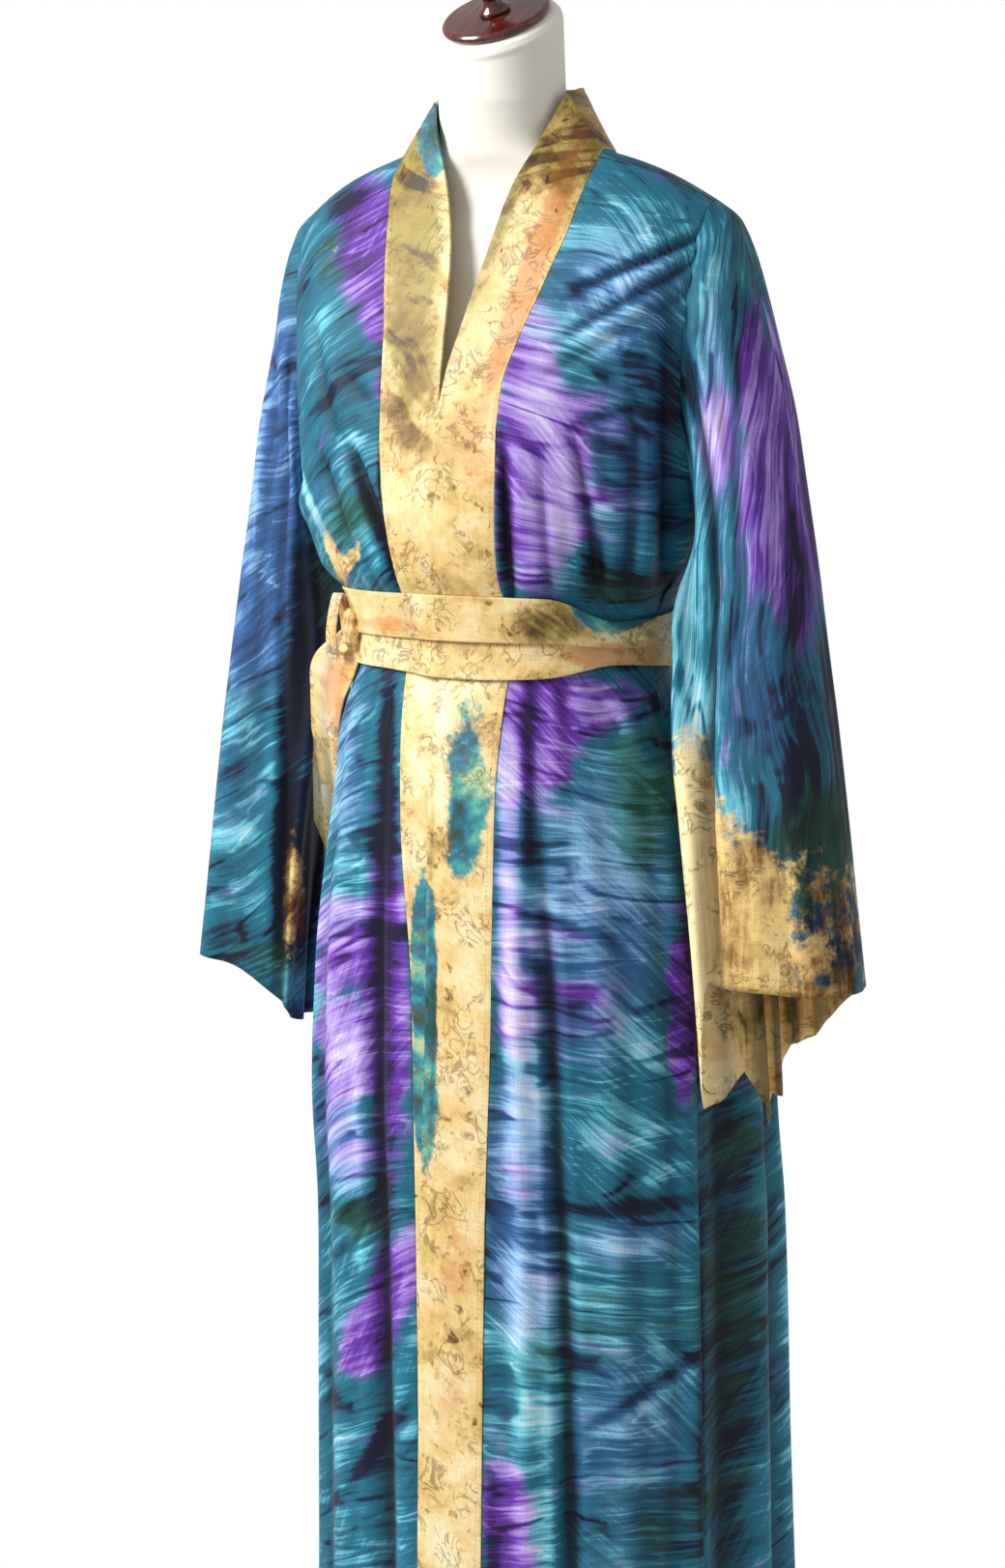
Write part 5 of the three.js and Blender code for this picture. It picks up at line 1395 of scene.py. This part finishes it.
def lacquered_mahogany():
    net, c = Finish("lacquered_mahogany"), colours()
    place = net.add("TexCoord").outputs["Object"]
    stretched = net.add(
        "Mapping", {"Vector": place, "Rotation": (0.55, 0.0, 0.3), "Scale": (180.0, 14.0, 60.0)}
    )
    grain = net.noise(stretched, 1.0, Detail=6.0, Roughness=0.6, Distortion=0.8)
    wood = c.mahogany
    colour = net.ramp(grain, [(0.3, wood * 0.25), (0.5, wood * 0.8), (0.7, wood * 1.5 + 0.01)])
    return net.done(
        colour, net.total(0.16, (grain, 0.12)), grain, 0.12, Coat_Weight=0.8, Coat_Roughness=0.08
    )


def painted_iron():
    net, c = Finish("painted_iron"), colours()
    speck = net.noise(net.add("TexCoord").outputs["Object"], 420.0, Detail=3.0)
    colour = net.ramp(speck, [(0.35, c.iron * 0.7), (0.65, c.iron * 1.3)])
    return net.done(colour, net.total(0.3, (speck, 0.2)), speck, 0.25)


# ---- operators ----


PANEL_LENGTH, BAND_LENGTH = 1.367, 1.517  # metres, which the rows' spacing is counted on
CAMERA_TURN, CAMERA_PITCH = 30.27, 2.172  # degrees from the front, and down
UP = np.array([0, 0, 1.0])

# Piece, side, columns, turn of the strokes in degrees, seed and share of crossing strokes.
PANELS = (
    ("front_left", 1, 84, 9, 0.0, 0.85),
    ("front_right", -1, 84, -16, 3.1, 0.4),
    ("back", 0, 150, -6, 7.7, 0.4),
)


class PieceOperator:
    bl_options = {"REGISTER", "UNDO"}


class DUSTER_OT_panels(PieceOperator, bpy.types.Operator):
    """The two fronts and the back, from shoulder to hem"""

    bl_idname = "duster.panels"
    bl_label = "Fronts and back"

    def execute(self, context):
        sizes = context.scene.duster_sizes
        rows = int(PANEL_LENGTH / sizes.spacing)
        for name, side, columns, turn, seed, cross in PANELS:

            def place(u, v, side=side):
                stage = np.interp(v, np.linspace(0, 1, rows + 1), stages(rows, False))
                return front_points(side, u, stage) if side else back_points(u, stage)

            def relief(u, v, p, name=name):
                inset = smooth(u / 0.06) * (smooth((1 - u) / 0.06) if name == "back" else 1)
                creases = sizes.crease * crease_relief(name, p)
                return inset * gather_relief(p, sizes.gather) + creases

            cloth_piece(
                name, "silk", silk("marbled_silk_" + name, turn, seed, 0.042, cross), sizes.cloth,
                "hung", ["dress_form_torso"], columns, rows, place, relief, ROBE_ZONES,
            )
        return {"FINISHED"}


class DUSTER_OT_sleeves(PieceOperator, bpy.types.Operator):
    """The two wide sleeves, each a tube that hangs from its armhole"""

    bl_idname = "duster.sleeves"
    bl_label = "Sleeves"

    def execute(self, context):
        sizes = context.scene.duster_sizes
        for name, side, zones, turn in (
            ("sleeve_left", 1, LEFT_SLEEVE_ZONES, 86), ("sleeve_right", -1, RIGHT_SLEEVE_ZONES, -34),
        ):

            def place(u, v, side=side):
                return sleeve_points(side, u % 1.0, 12 * v**1.05)

            def relief(u, v, p, side=side):
                waves = 2.0 * ripple(u * 5, v * 2.2, 21 + side)
                waves = waves + 0.8 * ripple(u * 14, v * 1.5, 31 + side)
                waves = waves * smooth(u / 0.05) * smooth((1 - u) / 0.05)
                off = u - np.interp(v, *STRIP_LINE)
                strip = 3 * np.exp(-(((off + 0.035) / 0.02) ** 2)) - 6.5 * np.exp(-((off / 0.014) ** 2))
                cuff = 5.5 * np.sin(2 * np.pi * u * 13) * smooth((v - 0.72) / 0.28)
                cuff = cuff * smooth((u - 0.42) / 0.06) * smooth((0.78 - u) / 0.06)
                return smooth(v / 0.12) * (waves + strip * (1 if side > 0 else 0.5)) + cuff

            cloth_piece(
                name, "silk", silk("marbled_silk_" + name, turn, 11.3 + side), sizes.cloth, "hung",
                ["robe_back"], 120, 150, place, relief, zones, closed=True, axial=True,
            )
        return {"FINISHED"}


class DUSTER_OT_bands(PieceOperator, bpy.types.Operator):
    """The folded neckband, from the nape down both fronts to the hem"""

    bl_idname = "duster.bands"
    bl_label = "Neckband"

    def execute(self, context):
        sizes = context.scene.duster_sizes
        rows = int(BAND_LENGTH / sizes.spacing)
        for name, side, seed in (("band_left", 1, 1.7), ("band_right", -1, 5.2)):

            def place(u, v, side=side):
                stage = np.interp(v, np.linspace(0, 1, rows + 1), stages(rows, True))
                return band_points(side, u, stage)

            def relief(u, v, p):
                seam = np.exp(-(((u - 0.93) / 0.03) ** 2))
                return 0.5 * ripple(u * 0.8, v * 22, 41) * np.sin(np.pi * u) - 0.35 * seam

            cloth_piece(
                name, "gold_silk", gold_silk("gold_silk_" + name, seed, BAND_STITCH), sizes.doubled,
                "folded", ["robe_back"], 14, rows, place, relief, BAND_ZONES, GOLD_DYES,
                rounding=DOUBLED_ROUND,
            )
        return {"FINISHED"}


def outside(angle, z, out):
    """Points outside the robe: out is measured from whichever front is on top."""
    plain = ring(angle, z)
    start, end = SASH_COMES_DOWN
    coming_down = 1 - smooth((start - plain[..., 0]) / (start - end))
    lift = np.where(np.cos(angle) > 0, lift_at(plain[..., 0]) * coming_down, 0)
    return ring(angle, z, out + lift)


class DUSTER_OT_sash(PieceOperator, bpy.types.Operator):
    """The sash: two turns round the waist, the knot, its loop and the hanging ends"""

    bl_idname = "duster.sash"
    bl_label = "Sash"

    def execute(self, context):
        sizes = context.scene.duster_sizes
        for (name, turn), seed in zip(SASH_TURNS.items(), (8.1, 9.4)):
            low, middle, high = turn["out"]

            def place(u, v, turn=turn, outs=(low, middle, mix(middle, high, 0.8), high)):
                degrees = u * 360 - 180
                top, bottom = (
                    column(SASH_EDGES, "angle", degrees, turn[key]) for key in ("top", "bottom")
                )
                out = np.interp(v, (0, 0.3, 0.75, 1), outs)
                return outside(np.radians(degrees), mix(top, bottom, v), out)

            def relief(u, v, p, name=name):
                lines = ripple(u * 8, v * 1.6, 51 if name.endswith("upper") else 57)
                return np.sin(np.pi * v) * (0.9 * lines + 0.25 * ripple(u * 40, v, 61))

            cloth_piece(
                name, "gold_silk", gold_silk("gold_silk_" + name, seed), sizes.doubled, "gathered",
                ["robe_front_left", "robe_back"], 200, 12, place, relief, SASH_ZONES, GOLD_DYES,
                rounding=DOUBLED_ROUND, closed=True,
            )
        for name, end in SASH_ENDS.items():

            def place(u, v, end=end):
                z = mix(*end["z"], v * (1 - end["slant"] * u))
                angle = np.radians(mix(*end["inner"], smooth(v * 1.3)))
                inner = ring(angle, z, mix(5, 3, smooth(v * 3)))
                across, deep = mix(*end["outer"], smooth(v * 4)), mix(*end["deep"], v)
                turn = math.radians(VIEW_TURN)
                outer = points(
                    across * math.cos(turn) + deep * math.sin(turn),
                    across * math.sin(turn) - deep * math.cos(turn), z,
                )
                p = mix(inner, outer, (u * (1 - 0.75 * (1 - smooth(v * 3))))[..., None])
                hollow = np.cos(np.pi * (u - 0.5)) * (7 * np.exp(-v * 6) + 2.5)
                hollow = hollow + 1.2 * np.sin(u * 11 + 5 * v)
                p[..., 0] -= hollow * math.sin(turn)
                p[..., 1] += hollow * math.cos(turn)
                return p

            cloth_piece(
                name, "gold_silk", gold_silk("gold_silk_" + name, 12.5), END_WALL, "hung",
                ["robe_belt_knot"], 12, 60, place, None, SASH_ZONES, GOLD_DYES, rounding=END_ROUND,
            )
        self.knot()
        self.loop()
        return {"FINISHED"}

    def knot(self):
        at, outward, along = self.place_at(KNOT)

        def place(u, v):
            up, turn = np.pi * (v - 0.5), 2 * np.pi * u
            wraps = 1 + 0.1 * np.cos(9 * up + 1.5 * np.cos(turn)) + 0.03 * np.sin(9 * turn + 4 * up)
            wide = signed(np.cos(up), 0.8) * wraps
            side = (KNOT["across"] * wide * signed(np.cos(turn), 0.85))[..., None] * along
            front = (KNOT["through"] * wide * signed(np.sin(turn), 0.85))[..., None] * outward
            return at + side + front + (KNOT["tall"] * signed(np.sin(up), 0.9))[..., None] * UP

        mesh = cloth_mesh("robe_belt_knot", 64, 40, place, None, SASH_ZONES, GOLD_DYES, closed=True)
        close_poles(mesh)
        material = gold_silk("gold_silk_knot", 14.2)
        piece = finish_piece("robe_belt_knot", mesh, material, "gold_silk", node="belt_knot")

    def loop(self):
        at, outward, along = self.place_at(LOOP)
        spin = Matrix.Rotation(math.radians(LOOP["turn"]), 3, "Z")
        outward, along = (np.array(spin @ Vector(way)) for way in (outward, along))

        def place(u, v):
            turn = 2 * np.pi * u
            through = (LOOP["through"] + 1.2 * np.cos(np.pi * (v - 0.5))) * (1 - 0.45 * np.sin(turn))
            p = at + (through * np.cos(turn))[..., None] * outward
            p = p + ((v - 0.5) * LOOP["width"])[..., None] * along
            return p + (LOOP["tall"] * np.sin(turn))[..., None] * UP

        cloth_piece(
            "belt_loop", "gold_silk", gold_silk("gold_silk_loop", 16.9), END_WALL, "folded",
            ["robe_belt_knot"], 90, 10, place, None, SASH_ZONES, GOLD_DYES, rounding=END_ROUND,
            closed=True,
        )

    def place_at(self, where):
        """Where a lump on the sash is, and its directions out from the robe and along it."""
        angle = math.radians(where["angle"])
        at = ring(angle, where["z"], where["out"])
        outward = at - ring(angle, where["z"])
        outward = outward / np.linalg.norm(outward)
        return at, outward, np.cross(UP, outward)


def close_poles(mesh):
    """Joins the doubled points of a closed piece and fills its open ends."""
    bm = bmesh.new()
    bm.from_mesh(mesh)
    bmesh.ops.remove_doubles(bm, verts=bm.verts, dist=1e-5)
    bmesh.ops.holes_fill(bm, edges=[e for e in bm.edges if e.is_boundary], sides=0)
    bmesh.ops.recalc_face_normals(bm, faces=bm.faces)
    bm.to_mesh(mesh)
    bm.free()


class DUSTER_OT_form(PieceOperator, bpy.types.Operator):
    """The dress form: padded torso, lacquered neck cap and finial, pole and base"""

    bl_idname = "duster.form"
    bl_label = "Dress form"

    def execute(self, context):
        low, high = FORM["z"].min(), FORM["z"].max()

        def place(u, v):
            turn = 2 * np.pi * u
            along = v * 1.08
            z = mix(low, high, np.clip(along, 0, 1))
            half, front, back, lean = (
                column(FORM, "z", z, key) for key in ("half", "front", "back", "lean")
            )
            depth = np.where(np.sin(turn) < 0, front, back)
            square = mix(0.94, 1.0, smooth((z - 1450) / 40))
            x, y = half * signed(np.cos(turn), square), depth * signed(np.sin(turn), square) - lean
            body = points(x, y, z)
            share = np.clip((along - 1) / 0.08, 0, 1)
            r, h = (np.interp(share, (0, 0.3, 0.75, 1.0), part) for part in zip(*NECK_RIM))
            top = points(*on_neck(r * np.cos(turn), r * np.sin(turn), h))
            return np.where((along > 1)[..., None], top, body)

        mesh = cloth_mesh("dress_form_torso", 96, 160, place, closed=True)
        close_poles(mesh)
        piece = finish_piece("dress_form_torso", mesh, ivory_jersey(), "jersey", node="form_torso")
        wood, iron = lacquered_mahogany(), painted_iron()

        def on_cap(x, y, h):
            return on_neck(x, y, h + FINIAL_FOOT)

        def upright(*at):
            return at

        for name, node, profile, steps, how, rounding, material, slot in (
            ("neck_cap", "neck_cap", CAP_PROFILE, 96, on_neck, 0.8, wood, "mahogany"),
            ("finial", "finial", FINIAL_PROFILE, 64, on_cap, 1.0, wood, "mahogany"),
            ("pole", "stand_pole", POLE_PROFILE, 48, upright, 0.6, iron, "stand_metal"),
            ("base", "stand_base", BASE_PROFILE, 128, upright, 1.2, iron, "stand_metal"),
        ):
            mesh = turned("dress_form_" + name, profile, steps, how, rounding)
            finish_piece("dress_form_" + name, mesh, material, slot, node=node)
        return {"FINISHED"}


class DUSTER_OT_stage(PieceOperator, bpy.types.Operator):
    """The floor, lights, surroundings and camera"""

    bl_idname = "duster.stage"
    bl_label = "Stage"

    def execute(self, context):
        stage = context.scene.duster_stage
        bm = bmesh.new()
        bmesh.ops.create_circle(bm, cap_ends=True, segments=96, radius=0.6)
        floor = bpy.data.objects.new("floor", filled("floor", bm))
        context.scene.collection.objects.link(floor)
        net, colour = Finish("pale_floor"), np.array(stage.floor)
        tone = net.noise(net.add("TexCoord").outputs["Object"], 3.0, Detail=3.0)
        net.put(net.shader["Base Color"], net.ramp(tone, [(0.3, colour * 0.97), (0.7, colour)]))
        net.put(net.shader["Roughness"], 0.7)
        floor.data.materials.append(net.material)
        self.light(context, "key_light", -38, 34, 3.2, 1.3, stage.key)
        self.light(context, "fill_light", 100, 20, 3.2, 2.0, stage.fill)
        self.surroundings(context)
        self.camera(context, stage)
        context.scene.view_settings.view_transform = "Standard"
        return {"FINISHED"}

    def light(self, context, name, azimuth, elevation, distance, size, power):
        data = bpy.data.lights.new(name, "AREA")
        data.energy, data.size, data.shape = power, size, "DISK"
        lamp = bpy.data.objects.new(name, data)
        context.scene.collection.objects.link(lamp)
        a, e = math.radians(azimuth), math.radians(elevation)
        back = Vector((math.sin(a) * math.cos(e), -math.cos(a) * math.cos(e), math.sin(e)))
        lamp.location = Vector((0, 0, 0.95)) + back * distance
        lamp.rotation_mode = "QUATERNION"
        lamp.rotation_quaternion = back.to_track_quat("Z", "Y")

    def surroundings(self, context):
        world = context.scene.world or bpy.data.worlds.new("studio")
        context.scene.world = world
        world.use_nodes = True
        net = Net(world.node_tree)
        world.node_tree.nodes.clear()
        seen = net.add("LightPath").outputs["Is Camera Ray"]
        strength = net.math("MULTIPLY_ADD", seen, 0.55, 0.45)
        background = net.add("Background", {"Color": (1.0, 1.0, 1.0, 1.0), "Strength": strength})
        net.add("OutputWorld", {"Surface": background.outputs[0]})

    def camera(self, context, stage):
        data = bpy.data.cameras.new("camera")
        camera = bpy.data.objects.new("camera", data)
        context.scene.collection.objects.link(camera)
        turn, pitch = math.radians(CAMERA_TURN), math.radians(CAMERA_PITCH)
        camera.location = (
            math.sin(turn) * stage.distance, -math.cos(turn) * stage.distance, stage.height
        )
        camera.rotation_euler = (math.pi / 2 - pitch, 0.0, turn)
        data.sensor_width, data.lens = 36.0, 72.31
        data.shift_x, data.shift_y = -0.0072, -0.2
        context.scene.camera = camera


class DUSTER_PT_panel(bpy.types.Panel):
    """Lists the pieces of the duster and its settings"""

    bl_idname = "DUSTER_PT_panel"
    bl_label = "Kimono duster"
    bl_space_type = "VIEW_3D"
    bl_region_type = "UI"
    bl_category = "Duster"

    def draw(self, context):
        layout = self.layout
        for operator in OPERATORS:
            layout.operator(operator.bl_idname)
        for name, group_class in GROUPS.items():
            box = layout.box()
            for setting in group_class.__annotations__:
                box.prop(getattr(context.scene, name), setting)


OPERATORS = (
    DUSTER_OT_form, DUSTER_OT_panels, DUSTER_OT_sleeves, DUSTER_OT_bands, DUSTER_OT_sash,
    DUSTER_OT_stage,
)
GROUPS = {
    "duster_sizes": DUSTER_PG_sizes,
    "duster_colours": DUSTER_PG_colours,
    "duster_stage": DUSTER_PG_stage,
}


def register():
    for cls in (*GROUPS.values(), *OPERATORS, DUSTER_PT_panel):
        bpy.utils.register_class(cls)
    for name, cls in GROUPS.items():
        setattr(bpy.types.Scene, name, bpy.props.PointerProperty(type=cls))


def unregister():
    for name in GROUPS:
        delattr(bpy.types.Scene, name)
    for cls in (DUSTER_PT_panel, *reversed(OPERATORS), *reversed(GROUPS.values())):
        bpy.utils.unregister_class(cls)


def main():
    register()
    for piece in ("form", "panels", "sleeves", "bands", "sash", "stage"):
        getattr(bpy.ops.duster, piece)()


if __name__ == "__main__":
    main()
